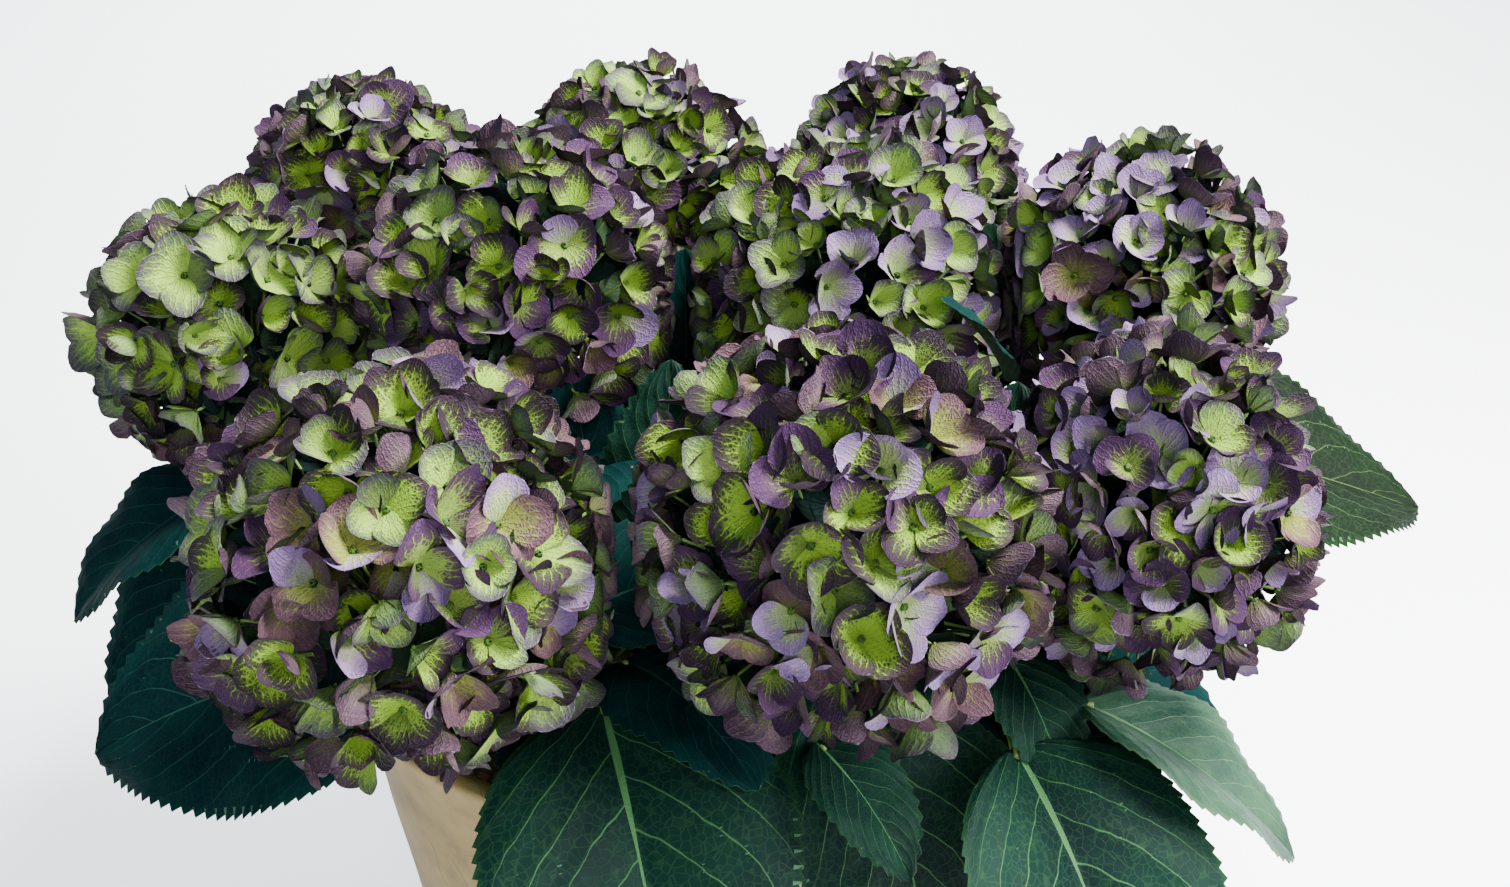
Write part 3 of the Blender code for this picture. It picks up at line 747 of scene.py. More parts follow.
# %% Pairs of leaves by rule
def pair_by_rule(stem, node, dice):
    """A pair of opposite leaves; the ones that face out are longer and droop more."""
    outward = math.degrees(math.atan2(stem.top.y, stem.top.x))
    rows = []
    for half_turn in (0, 180):
        azimuth = outward + PAIR_TURNS[node] + half_turn + dice.uniform(*PAIR_SWAY)
        faces_out = math.cos(math.radians(azimuth - outward)) > OUTWARD_LIMIT
        length = (OUTER_LEAF if faces_out else INNER_LEAF) * dice.uniform(*PAIR_SIZES)
        start = dice.uniform(*BASE_PITCHES)
        droop = dice.uniform(*(OUTER_DROOPS if faces_out else INNER_DROOPS))
        roll = dice.uniform(*BLADE_ROLLS)
        stalk = start + STALK_ABOVE_BLADE
        rows.append((node, azimuth, 0, length, stalk, start, start - droop, roll, LEAF_WIDTH_SHARE))
    return rows


def leaf_rows(stem, dice):
    """Leaf pairs of one shoot: each pair stands square to the one below it."""
    rows = pair_by_rule(stem, 1, dice) + pair_by_rule(stem, 0, dice)
    return SHOWN_LEAVES.get(stem.name, rows) + pair_by_rule(stem, 2, dice)


# What is tried, in turn, where a leaf would touch something: a change of azimuth and
# of pitch, on a leaf of full length first and then on shorter ones.
TURNS_TRIED = (
    (0, -8), (0, 8), (12, 0), (-12, 0), (14, -10), (-14, -10), (14, 10), (-14, 10),
    (0, -18), (0, 18), (24, 0), (-24, 0), (26, -16), (-26, -16), (26, 16), (-26, 16),
)
LENGTHS_TRIED = (1.0, 0.9, 0.78)
LEAF_TRIES = [(0, 0, 1.0)]
LEAF_TRIES += [(*turned, shrunk) for shrunk in LENGTHS_TRIED for turned in TURNS_TRIED]


def leaf_from_row(stem, row, change):
    node, azimuth, swing, length, stalk, start, end, roll, width = row
    turn_by, tip_by, shrink = change
    distance = stem.cane_end + (stem.end - stem.cane_end) * NODE_PLACES[node]
    place, _ = stem.at(distance)
    pitches = [math.radians(pitch + tip_by) for pitch in (stalk, start, end)]
    turns = [math.radians(azimuth + turn_by), math.radians(azimuth + turn_by + swing)]
    return Leaf(place, turns, length * shrink, pitches, math.radians(roll), width)


def obstacle(solid):
    """A solid in the form that can be tested for touching."""
    return BVHTree.FromPolygons(*solid)


def touches(solid, obstacles):
    tree = obstacle(solid)
    return any(tree.overlap(other) for other in obstacles)


# %% What a leaf keeps clear of
def stretched(offset, tall):
    return Vector((offset.x, offset.y, offset.z * tall))


def ball(centre, radius, tall, fineness):
    """A round solid of flat faces, stretched along Z."""
    shell = bmesh.new()
    bmesh.ops.create_icosphere(shell, subdivisions=fineness, radius=radius)
    points = [centre + stretched(corner.co, tall) for corner in shell.verts]
    faces = [tuple(corner.index for corner in face.verts) for face in shell.faces]
    shell.free()
    return points, faces


def cone(foot_radius, top_radius, height, sides):
    """A closed round solid that widens upward, for the space of the pot."""
    points = []
    for radius, level in ((foot_radius, 0.0), (top_radius, height)):
        for side in range(sides):
            turn = 2.0 * math.pi * side / sides
            points.append(Vector((radius * math.cos(turn), radius * math.sin(turn), level)))
    faces = [(side, (side + 1) % sides, sides + (side + 1) % sides, sides + side) for side in range(sides)]
    return points, faces + [tuple(range(sides)), tuple(range(sides, 2 * sides))]


def first_free(stem, row, blade_keeps_off, stalk_keeps_off, mine):
    """The leaf of one row where it touches nothing, or nothing where no try is free."""
    for change in LEAF_TRIES:
        leaf = leaf_from_row(stem, row, change)
        if touches(leaf.blade(LEAF_CLEARANCE), blade_keeps_off + mine):
            continue
        if touches(leaf.petiole(), stalk_keeps_off):
            continue
        if touches(leaf.petiole(PETIOLE_FREE), mine):
            continue
        return leaf
    return None


# %% Grow the leaves
def fixed_obstacles():
    """The pot, the canes, the flower stalks and the round space of each head."""
    lip = POT_RIM_RADIUS + POT_LIP_STAND + LEAF_CLEARANCE
    fixed = [obstacle(cone(POT_FOOT_RADIUS, lip, POT_HEIGHT + LEAF_CLEARANCE, POT_SPACE_SIDES))]
    for stem in stems:
        fixed.append(obstacle(stem.cane()))
        if stem.radius > 0.0:
            fixed.append(obstacle(stem.stalk()))
            fixed.append(obstacle(ball(stem.top, stem.radius * HEAD_KEEP, stem.tall, KEEP_FINENESS)))
    return fixed


fixed = fixed_obstacles()
shoots = {stem.name: obstacle(stem.shoot()) for stem in stems}
taken = {stem.name: [] for stem in stems}
grown = {stem.name: [] for stem in stems}
by_name = {stem.name: stem for stem in stems}
dice = random.Random(LEAF_SEED)
for name in list(SHOWN_LEAVES) + [name for name in by_name if name not in SHOWN_LEAVES]:
    stem = by_name[name]
    others = list(fixed)
    for other in by_name:
        if other != name:
            others += [shoots[other]] + taken[other]
    mine = []
    for row in leaf_rows(stem, dice):
        leaf = first_free(stem, row, others + [shoots[name]], others, mine)
        if leaf is not None:
            blade = obstacle(leaf.blade(LEAF_CLEARANCE))
            mine += [blade, obstacle(leaf.petiole(PETIOLE_FREE))]
            taken[name] += [blade, obstacle(leaf.petiole())]
            grown[name].append(leaf)
print("leaves:", sum(len(leaves) for leaves in grown.values()))

# %% [markdown]
# ## Small leaves between the large ones
# Young leaves and the small ones below each flower head fill the gaps that the solids
# leave open. They grow from the same stems, at nodes between the others, and each is
# tried against everything that stands there already. A few more are placed one by one,
# where the gaps between the heads would otherwise show the floor.

# %% Small leaves
SMALL_NODES = (0.97, 0.70, 0.48, 0.16)
SMALL_TURN = 20
SMALL_SWAY = (-15, 15)
SMALL_STARTS = (0, 24)
SMALL_STALK_ABOVE = 14
SMALL_DROOP = 34
SMALL_LENGTHS = (0.062, 0.098)
SMALL_ROLLS = (-10, 10)
SMALL_WIDTH_SHARE = 0.68
SMALL_TRIES = ((0, 0), (25, 0), (-25, 0), (0, 18), (0, -18), (45, 10), (-45, 10))
SMALL_SEED = 19
# Stems whose top is further to the front than this have small leaves only behind.
FRONT_ROW = -0.1
TURNED_BACK = 0.1


def in_a_head(leaf):
    """Whether the middle of a blade would be buried in a flower head."""
    middle = leaf.midrib(0.5)[0]
    for centre, radius, tall in HEADS.values():
        away = middle - Vector(centre)
        away.z /= tall
        if away.length < radius:
            return True
    return False


def small_leaf(stem, share, azimuth, start, length, others, dice):
    """A small leaf where it is free, or nothing where no try is."""
    place = stem.at(stem.cane_end + (stem.end - stem.cane_end) * share)[0]
    for turn_by, tip_by in SMALL_TRIES:
        turn = math.radians(azimuth + turn_by)
        base = start + tip_by
        bends = [math.radians(pitch) for pitch in (base + SMALL_STALK_ABOVE, base, base - SMALL_DROOP)]
        roll = math.radians(dice.uniform(*SMALL_ROLLS))
        leaf = Leaf(place, (turn, turn), length, bends, roll, SMALL_WIDTH_SHARE)
        if not (in_a_head(leaf) or touches(leaf.blade(LEAF_CLEARANCE), others)):
            return leaf
    return None


small = {stem.name: [] for stem in stems}
dice = random.Random(SMALL_SEED)
for stem in stems:
    others = list(fixed)
    for other in by_name:
        others += taken[other] + ([shoots[other]] if other != stem.name else [])
    outward = math.degrees(math.atan2(stem.top.y, stem.top.x))
    for number, share in enumerate(SMALL_NODES):
        for half_turn in (0, 180):
            turned = SMALL_TURN + 90 * (number % 2) + half_turn
            azimuth = outward + turned + dice.uniform(*SMALL_SWAY)
            if stem.top.y < FRONT_ROW and math.sin(math.radians(azimuth)) < TURNED_BACK:
                continue
            start = dice.uniform(*SMALL_STARTS)
            length = dice.uniform(*SMALL_LENGTHS)
            leaf = small_leaf(stem, share, azimuth, start, length, others, dice)
            if leaf is not None:
                blade = obstacle(leaf.blade(LEAF_CLEARANCE))
                others.append(blade)
                taken[stem.name].append(blade)
                small[stem.name].append(leaf)
print("small leaves:", sum(len(leaves) for leaves in small.values()))

# %% Leaves placed one by one in the gaps
# Stem, foot of the blade, azimuth, length, pitch of the blade's base and tip, width as a
# share of the length, and the finish where it isn't left to chance; the darkest, deep, paints
# the shade of the gap where such a leaf stands.
BETWEEN_LEAVES = [
    ("inner_left", (0.020, -0.052, 0.420), 80, 0.115, (84, 66), 0.66, ""),
    ("inner_left", (-0.020, -0.030, 0.420), 120, 0.105, (84, 66), 0.66, ""),
    ("inner_right", (0.200, -0.060, 0.410), 70, 0.115, (80, 62), 0.66, ""),
    ("inner_right", (0.180, -0.030, 0.415), 110, 0.110, (84, 66), 0.66, ""),
    ("inner_right", (0.204, -0.034, 0.524), 196, 0.066, (66, 38), 0.74, "deep"),
    ("inner_right", (0.028, 0.070, 0.440), 90, 0.110, (86, 70), 0.66, ""),
    ("inner_left", (-0.150, -0.045, 0.415), 100, 0.110, (84, 66), 0.66, ""),
    ("middle_left", (-0.232, 0.004, 0.437), 208, 0.125, (-12, -52), 0.80, "deep"),
    ("middle_right", (0.215, 0.110, 0.440), 80, 0.110, (84, 66), 0.66, ""),
    ("middle_right", (0.300, -0.020, 0.420), 100, 0.105, (80, 60), 0.66, ""),
    ("back_left", (-0.110, 0.110, 0.440), 100, 0.110, (86, 70), 0.66, ""),
    ("right", (0.200, -0.118, 0.408), -62, 0.085, (-18, -66), 0.66, ""),
    ("front_middle", (0.100, -0.170, 0.392), -50, 0.082, (-8, -52), 0.66, "olive"),
    ("right", (0.215, -0.066, 0.380), -14, 0.125, (-10, -26), 0.80, "deep"),
]
BETWEEN_NODE = 0.6
for name, base, azimuth, length, bends, width, kind in BETWEEN_LEAVES:
    stem = by_name[name]
    turn = math.radians(azimuth)
    start, end = (math.radians(bend) for bend in bends)
    stalk_pitch = start + math.radians(STALK_ABOVE_BLADE)
    foot = Vector(base) - heading(turn, stalk_pitch) * PETIOLE_LENGTH
    leaf = Leaf(foot, (turn, turn), length, (stalk_pitch, start, end), 0.0, width)
    leaf.place = stem.at(stem.cane_end + (stem.end - stem.cane_end) * BETWEEN_NODE)[0]
    leaf.kind = kind
    small[name].append(leaf)
print("leaves in the gaps:", len(BETWEEN_LEAVES))

# %% [markdown]
# ## Leaf finish
# A hydrangea leaf is thick and a little quilted: deep blue green above, with pale veins
# that arch toward the tip, and a paler matt underside. The veins could be a picture. Here
# they come from a formula on the leaf's own map, the same one that shapes its quilting,
# so that colour and relief always agree.

# %% Tiles of the leaf map
TILES = 5
TILE_EDGE = 0.02
VEIN_PERIOD = 0.13
VEIN_SLANT = 0.28
VEIN_ARCH = 0.15
LEAF_ROWS = {"deep": 0, "olive": 1, "fresh": 2, "grey": 3, "under": 4}
print("leaf finishes:", list(LEAF_ROWS))

# %% Leaf material
def leaf_veins(recipe, place, over, up):
    """How far from the midrib a point is, how far from a side vein, and where veins show."""
    inner = 1.0 - 2.0 * TILE_EDGE
    signed = recipe.times(recipe.minus(over, 0.5), 2.0 / inner)
    side = recipe.reckon("ABSOLUTE", signed)
    along = recipe.reckon("DIVIDE", recipe.minus(up, TILE_EDGE), inner)
    wobble = recipe.times(recipe.minus(recipe.cloud(place, 30.0), 0.5), 0.07)
    arch = recipe.times(recipe.reckon("POWER", side, 2.0), VEIN_ARCH)
    slant = recipe.plus(recipe.times(side, VEIN_SLANT), arch)
    stage = recipe.plus(recipe.minus(along, slant), wobble)
    half_step = recipe.times(recipe.reckon("GREATER_THAN", signed, 0.0), 0.5)
    count = recipe.plus(recipe.reckon("DIVIDE", stage, VEIN_PERIOD), half_step)
    off_vein = recipe.reckon("ABSOLUTE", recipe.minus(recipe.reckon("FRACT", count), 0.5))
    fading = recipe.ease(side, 0.70, 1.0, 1.0, 0.15)
    lateral = recipe.times(recipe.ease(off_vein, 0.466, 0.499, 0.0, 0.8), fading)
    midrib_width = recipe.node("MapRange", [(0, along), (1, 0.0), (2, 0.38), (3, 0.050), (4, 0.009)])
    midrib = recipe.reckon("LESS_THAN", side, midrib_width)
    return side, off_vein, recipe.reckon("MAXIMUM", lateral, midrib)


def leaf_finish(name, dark, light, vein, patch, roughness, vein_share, gloss):
    """One face of a leaf: mottled green between arching veins, puffed up a little."""
    recipe = Recipe(name, roughness, gloss)
    place, _, over, up = recipe.on_tile(TILES)
    side, off_vein, veins = leaf_veins(recipe, place, over, up)
    net = recipe.net(recipe.scaled(place, (1.0, 1.4, 1.0)), 170.0)
    slow = recipe.cloud(place, 11.0, 3.0)
    fine = recipe.cloud(place, 90.0, 4.0, 0.65)
    colour = recipe.blend(recipe.ease(slow, 0.35, 0.65), dark, light)
    colour = recipe.blend(recipe.ease(fine, 0.5, 0.8, 0.0, 0.6), colour, patch)
    colour = recipe.blend(recipe.times(net, 0.06), colour, vein)
    colour = recipe.blend(recipe.ease(side, 0.955, 1.0, 0.0, 0.7), colour, patch)
    colour = recipe.blend(recipe.times(veins, vein_share), colour, vein)
    puff = recipe.ease(off_vein, 0.0, 0.5, 1.0, 0.0)
    relief = recipe.minus(recipe.times(puff, 0.7), recipe.times(veins, 0.6))
    relief = recipe.minus(relief, recipe.times(net, 0.15))
    return recipe.finish(colour, relief, 0.0012, 0.6)


# The darker and the lighter green, the veins and the patches, as colours from 0 to 255;
# then how rough the face is, how strong its veins and how glossy it is.
LEAF_COLOURS = {
    # The deep finish is a dark blue green; on leaves placed in the shade under and between the heads its
    # darkness also paints that shade.
    "top_deep": ((0, 20, 22), (1, 29, 28), (44, 82, 64), (6, 36, 30), 0.70, 0.46, 0.03),
    "top_olive": ((0, 18, 15), (1, 27, 19), (70, 112, 64), (12, 42, 18), 0.60, 0.56, 0.06),
    "top_fresh": ((2, 8, 3), (4, 17, 5), (68, 88, 48), (14, 34, 8), 0.60, 0.50, 0.05),
    "top_grey": ((19, 44, 33), (36, 64, 44), (98, 124, 92), (54, 78, 52), 0.55, 0.5, 0.12),
    "under": ((28, 58, 40), (42, 74, 48), (96, 124, 80), (52, 84, 50), 0.6, 0.5, 0.15),
}
leaf_finishes = [leaf_finish("leaf_" + face, *values) for face, values in LEAF_COLOURS.items()]
print("leaf materials:", [material.name for material in leaf_finishes])

# %% [markdown]
# ## Leaf blades
# The solid's leaf is a folded plate of a few faces. The finished one keeps its midrib, fold,
# width and tip, and adds what makes it a leaf: forward teeth along the edge, quilting
# between the side veins, a wavy rim, and an underside with a ridge below the midrib. A
# sheet of points bent by a few waves does all of that at once.

# %% Blade sizes
HALF_ACROSS = np.array([0.0, 0.05, 0.16, 0.30, 0.44, 0.58, 0.71, 0.83, 0.93, 1.0])
ACROSS = np.concatenate([-HALF_ACROSS[:0:-1], HALF_ACROSS])
FULL_LEAF = 0.2
SMALL_BLADE = 0.13
TEETH = 30
FEWEST_TEETH = 12
TOOTH_OUT = 0.0030
TOOTH_FORWARD = 0.0024
QUILT = 0.0017
RIM_WAVE = 0.022
RIM_WAVES = 2.3
LEAF_TWIST = 0.10
RIDGE_HEIGHT = 0.0018
RIDGE_WIDTH = 0.0016
LEAF_THINNEST = 0.00035
print("points in a large leaf:", (2 * TEETH + 1) * len(ACROSS) * 2)


# %% Blade mesh
def turned(angle, first, second):
    """The first direction turned toward the second by an angle at every point of a sheet."""
    return np.cos(angle)[..., None] * first + np.sin(angle)[..., None] * second


def blade_sheets(leaf, teeth, luck):
    """Top and underside of one leaf as grids of points, with their shares along and across."""
    rows = 2 * teeth + 1
    columns = ACROSS if leaf.length > SMALL_BLADE else ACROSS[::2]
    share, across_share = np.meshgrid(np.linspace(0.0, 1.0, rows), columns, indexing="ij")
    side_share = np.abs(across_share)
    right = across_share > 0
    size = leaf.length / FULL_LEAF
    # The midrib bends evenly from the pitch at its base to the pitch at its tip.
    turn = leaf.end_pitch - leaf.start_pitch
    pitch = leaf.start_pitch + turn * share
    along = leaf.length / turn * (np.sin(pitch) - math.sin(leaf.start_pitch))
    rise = leaf.length / turn * (math.cos(leaf.start_pitch) - np.cos(pitch))
    # Width, with a tooth at every second row of the edge.
    body = np.sin(math.pi * share**BLADE_BELLY) ** BLADE_FULLNESS * (1.0 - BLADE_TIP_TAPER * share)
    half = np.maximum(leaf.width / 2 * body, 0.0003)
    on_edge = (side_share > 0.99) & (np.arange(rows)[:, None] % 2 == 1)
    tooth = np.minimum(1.0, half / (0.02 * size)) * on_edge * size**0.5
    reach = half * across_share + np.sign(across_share) * TOOTH_OUT * tooth
    # Height, from the quilting, the wavy rim and the fold.
    stage = share - VEIN_SLANT * side_share - VEIN_ARCH * side_share**2
    puff = np.cos(math.pi * (np.mod(stage / VEIN_PERIOD + 0.5 * right, 1.0) - 0.5))
    quilting = QUILT * size * puff * np.sin(math.pi * side_share) ** 0.6
    wave = RIM_WAVE * leaf.length * side_share**3 * np.sin(math.pi * share)
    wave = wave * np.sin(math.tau * (RIM_WAVES * share + luck[0] + 0.4 * right))
    fold = math.sin(LEAF_FOLD) * (1.75 * side_share - 0.75 * side_share**3)
    lift = half * fold + quilting + wave
    # Directions at every point, and the two sheets.
    out, sideways, upward = (np.array(axis) for axis in (leaf.out, leaf.side, UP))
    ahead = turned(pitch, out, upward)
    square = turned(pitch, upward, -out)
    twist = leaf.roll + LEAF_TWIST * (luck[1] - 0.5) * share
    side = turned(twist, sideways, square) * (reach * math.cos(LEAF_FOLD))[..., None]
    above = turned(twist, square, -sideways)
    middle = np.array(leaf.base) + along[..., None] * out + rise[..., None] * upward
    top = middle + side + above * lift[..., None] + ahead * (TOOTH_FORWARD * tooth)[..., None]
    ridge = RIDGE_HEIGHT * size * np.exp(-(reach / (RIDGE_WIDTH * size)) ** 2) * (1.0 - share) ** 0.7
    thick = LEAF_THINNEST + ridge + 0.0004 * (1.0 - puff) * (side_share < 0.9)
    return top, top - above * thick[..., None], share, across_share


def leaf_places(share, across_share, column, row):
    """Places on the tiles of the leaf map."""
    x = 0.5 + across_share * (0.5 - TILE_EDGE)
    y = TILE_EDGE + share * (1.0 - 2.0 * TILE_EDGE)
    return np.stack([(column + x) / TILES, (row + y) / TILES], axis=-1).reshape(-1, 2)


def add_blade(gathering, leaf, kind, dice):
    """One blade: its top in the finish of its kind, and its underside."""
    teeth = max(FEWEST_TEETH, int(TEETH * leaf.length / FULL_LEAF))
    luck = (dice.random(), dice.random())
    column = dice.randrange(TILES)
    top, under, share, across_share = blade_sheets(leaf, teeth, luck)
    quads = grid_quads(*share.shape)
    for sheet, faces, face in ((top, quads, kind), (under, quads[:, ::-1], "under")):
        row = LEAF_ROWS[face]
        places = leaf_places(share, across_share, column, row)
        gathering.add(sheet.reshape(-1, 3), faces, places, row)


# %% Leaves of the front, the middle and the back
LEAF_GROUPS = {
    "front": ("front", "front_left", "front_middle", "front_right", "right"),
    "middle": ("middle_left", "inner_left", "inner_right", "middle_right"),
    "back": ("back_left", "back_middle", "back_right", "rear_left", "rear_right"),
}
# The finish of leaves that show plainly, by stem and place in its row of leaves.
# Leaves given deep here stand in shade under and between the heads, and its dark teal paints that shade on
# them.
LEAF_KINDS = {
    "front": ("olive", None, "deep"),
    "front_left": ("deep", "deep"),
    "front_middle": ("olive", "deep"),
    "inner_right": (None, None, None, "deep"),
    "middle_left": ("deep",),
    "middle_right": ("fresh",),
    "right": ("grey", "olive"),
}
DEEP_SHARE = 0.6
SMALL_OLIVE_SHARE = 0.5
LEAF_LUCK_SEED = 31
dice = random.Random(LEAF_LUCK_SEED)
for group, names in LEAF_GROUPS.items():
    leaves = Gathering()
    for name in names:
        given = LEAF_KINDS.get(name, ())
        for number, leaf in enumerate(grown[name]):
            by_chance = "deep" if dice.random() < DEEP_SHARE else "olive"
            kind = given[number] if number < len(given) else None
            add_blade(leaves, leaf, kind or by_chance, dice)
        for leaf in small[name]:
            by_chance = "olive" if dice.random() < SMALL_OLIVE_SHARE else "deep"
            add_blade(leaves, leaf, leaf.kind or by_chance, dice)
    leaves.make("leaves_" + group, leaf_finishes, ["leafy_shoot_" + name for name in names])

# %% [markdown]
# ## Canes, green shoots and stalks
# Below, a hydrangea's cane is woody, with thin bark that splits and peels along it. Above, the
# shoot is green and swells where each pair of leaves joins. The bark's ridges are modelled
# and not only drawn, because they break the outline where a cane stands against the light.

# %% Stem finishes
def bark_finish():
    """Bark in long narrow strips, greener in places."""
    recipe = Recipe("split_bark", 0.85, 0.25)
    place = recipe.on_plant()
    strips = recipe.cloud(recipe.scaled(place, (1.0, 1.0, 0.12)), 420.0, 4.0, 0.6)
    slow = recipe.cloud(place, 40.0, 3.0)
    colour = recipe.blend(recipe.ease(strips, 0.35, 0.65), (84, 66, 44), (158, 134, 98))
    colour = recipe.blend(recipe.ease(slow, 0.5, 0.7, 0.0, 0.6), colour, (104, 100, 62))
    return recipe.finish(colour, strips, 0.0008, 0.8)


def green_stem_finish():
    """Smooth green skin with small reddish spots."""
    recipe = Recipe("green_stem", 0.5, 0.45)
    place = recipe.on_plant()
    slow = recipe.cloud(place, 60.0)
    spots = recipe.cloud(place, 700.0)
    colour = recipe.blend(recipe.ease(slow, 0.35, 0.65), (58, 82, 26), (92, 112, 44))
    colour = recipe.blend(recipe.ease(spots, 0.62, 0.72, 0.0, 0.5), colour, (96, 60, 52))
    return recipe.finish(colour, spots, 0.0003, 0.4)


bark = bark_finish()
green_stem = green_stem_finish()
print("stem finishes:", bark.name, green_stem.name)

# %% Round tubes
# All stalks in the flower heads share one place on the map, and their tubes end in a point.
STALK_PLACE = (0.02, 0.7625)
TUBE_POINT = 0.0001
# How fine the bark's ridges are, around a cane and along it.
BARK_FINENESS = (2.6, 28.0)
# The foot of a cane, times this, picks the piece of noise that its bark follows.
BARK_LUCK = 90.0


def square_to(directions):
    """Two directions square to each direction of an array."""
    first = np.cross(directions, np.array(SQUARE_GUIDE))
    first /= np.linalg.norm(first, axis=-1, keepdims=True)
    return first, np.cross(directions, first)


def bark_ridges(points, turns):
    """How far the bark stands out around each point of a cane, in long ridges."""
    around, along = BARK_FINENESS
    own = Vector((points[0][0] * BARK_LUCK, 0.0, 0.0))
    ridges = []
    for point in points:
        for turn in turns:
            spot = Vector((math.cos(turn) * around, math.sin(turn) * around, point[2] * along))
            ridges.append(noise.noise(spot + own))
    return np.array(ridges).reshape(len(points), len(turns))


def add_round(gathering, points, radii, sides, finish=0, relief=0.0):
    """A closed tube along points, with a radius for each and rough bark where asked."""
    points = np.asarray(points, dtype=float)
    ahead = np.gradient(points, axis=0)
    ahead /= np.linalg.norm(ahead, axis=1)[:, None]
    first, second = square_to(ahead)
    turns = np.arange(sides) * math.tau / sides
    radius = np.repeat(np.asarray(radii, dtype=float)[:, None], sides, axis=1)
    if relief:
        radius += relief * bark_ridges(points, turns)
    spokes = first[:, None] * np.cos(turns)[:, None] + second[:, None] * np.sin(turns)[:, None]
    foot = points[:1, None] + spokes[:1] * TUBE_POINT
    tip = points[-1:, None] + spokes[-1:] * TUBE_POINT
    rings = np.concatenate([foot, points[:, None] + spokes * radius[..., None], tip])
    places = np.full((rings.shape[0] * sides, 2), STALK_PLACE)
    gathering.add(rings.reshape(-1, 3), grid_quads(len(rings), sides, True), places, finish)


def stretch(stem, start, end, count):
    """Points at even steps along one stretch of a stem."""
    return [tuple(stem.at(start + (end - start) * step / (count - 1))[0]) for step in range(count)]


def swelling(share, middle, width):
    """A smooth swelling, one high at its middle."""
    return np.exp(-((share - middle) / width) ** 2)


print("tube helper ready for", len(stems), "stems")

# %% Canes
CANE_STEPS = 40
CANE_SIDES = 20
CANE_SWELLING = 0.0009
CANE_SWELLINGS = ((0.55, 0.03), (0.0, 0.05))
BARK_RELIEF = 0.0011
cane_share = np.linspace(0.0, 1.0, CANE_STEPS)
cane_radii = CANE_RADII[0] + (CANE_RADII[1] - CANE_RADII[0]) * cane_share
for middle, width in CANE_SWELLINGS:
    cane_radii = cane_radii + CANE_SWELLING * swelling(cane_share, middle, width)
canes = Gathering()
for stem in stems:
    line = stretch(stem, 0.0, stem.cane_end, CANE_STEPS)
    add_round(canes, line, cane_radii, CANE_SIDES, 0, BARK_RELIEF)
canes.make("bark_canes", [bark], ["cane_" + stem.name for stem in stems], False)

# %% Green shoots with leaf stalks
SHOOT_STEPS = 36
SHOOT_SIDES = 12
NODE_SWELLING = 0.0013
NODE_WIDTH = 0.035
STALK_STEPS = 10
STALK_SIDES = 8
STALK_FULL_LEAF = 0.16
STALK_THICKER = 1.05
STALK_FOOT = (1.35, 1.15)
STALK_SAG = 0.0012
LONG_STALK = 0.06
LONG_STALK_SAG = 0.25


def stalk_line(leaf):
    """Points along a leaf's stalk, which sags more where it is long."""
    foot = np.array(leaf.place)
    span = np.array(leaf.base + leaf.stalk * PETIOLE_OVERLAP) - foot
    sag = STALK_SAG + LONG_STALK_SAG * max(0.0, np.linalg.norm(span) - LONG_STALK)
    share = np.linspace(0.0, 1.0, STALK_STEPS)[:, None]
    return foot + span * share - np.array(UP) * sag * np.sin(math.pi * share)


def stalk_radii(leaf):
    """Radii along a leaf's stalk, thicker where it joins the stem."""
    size = min(1.0, leaf.length / STALK_FULL_LEAF)
    radii = np.linspace(*PETIOLE_RADII, STALK_STEPS) * size * STALK_THICKER
    radii[:2] *= STALK_FOOT
    return radii


shoot_share = np.linspace(0.0, 1.0, SHOOT_STEPS)
shoot_radii = SHOOT_RADII[0] + (SHOOT_RADII[1] - SHOOT_RADII[0]) * shoot_share
for node in NODE_PLACES:
    shoot_radii = shoot_radii + NODE_SWELLING * swelling(shoot_share, node, NODE_WIDTH)
green = Gathering()
for stem in stems:
    line = stretch(stem, stem.cane_end + CONTACT_GAP, stem.end, SHOOT_STEPS)
    add_round(green, line, shoot_radii, SHOOT_SIDES)
    for leaf in grown[stem.name] + small[stem.name]:
        add_round(green, stalk_line(leaf), stalk_radii(leaf), STALK_SIDES)
shoot_nodes = ["leafy_shoot_" + stem.name for stem in stems]
green.make("green_shoots", [green_stem], shoot_nodes, False)

# %% [markdown]
# ## Soil
# Potting soil is dark and crumbly, with pieces of bark in it. A noisy disc gives its level
# and loose chips lie on it, each one a small flattened block with uneven corners. A picture
# of soil would look flat at the rim of the pot, where the light grazes it.

# %% Soil finishes
def soil_finish(name, dark, light):
    recipe = Recipe(name, 0.95, 0.2)
    grain = recipe.cloud(recipe.on_plant(), 220.0, 5.0, 0.7)
    colour = recipe.blend(recipe.ease(grain, 0.35, 0.7), dark, light)
    return recipe.finish(colour, grain, 0.0015, 0.9)


soil_finishes = [
    soil_finish("dark_soil", (26, 20, 16), (62, 46, 34)),
    soil_finish("bark_chips", (54, 38, 26), (118, 88, 60)),
]
print("soil finishes:", len(soil_finishes))

# %% Soil surface
SOIL_RADIUS = 0.1585
SOIL_MIDDLE = 0.0005
SOIL_RINGS = 46
SOIL_SIDES = 96
SOIL_DOME = 0.003
SOIL_SETTLED = 0.001
SOIL_SKIRT = 0.02
# Height and fineness of the lumps and crumbs.
LUMPS = (0.0035, 60)
CRUMBS = (0.0018, 190)


def soil_height(x, y, radius):
    """Height of the soil: a low dome with lumps and finer crumbs."""
    lumps = LUMPS[0] * noise.noise(Vector((x * LUMPS[1], y * LUMPS[1], 0.0)))
    crumbs = CRUMBS[0] * noise.noise(Vector((x * CRUMBS[1], y * CRUMBS[1], 4.0)))
    return SOIL_TOP - SOIL_DOME * (radius / SOIL_RADIUS) ** 4 + lumps + crumbs - SOIL_SETTLED


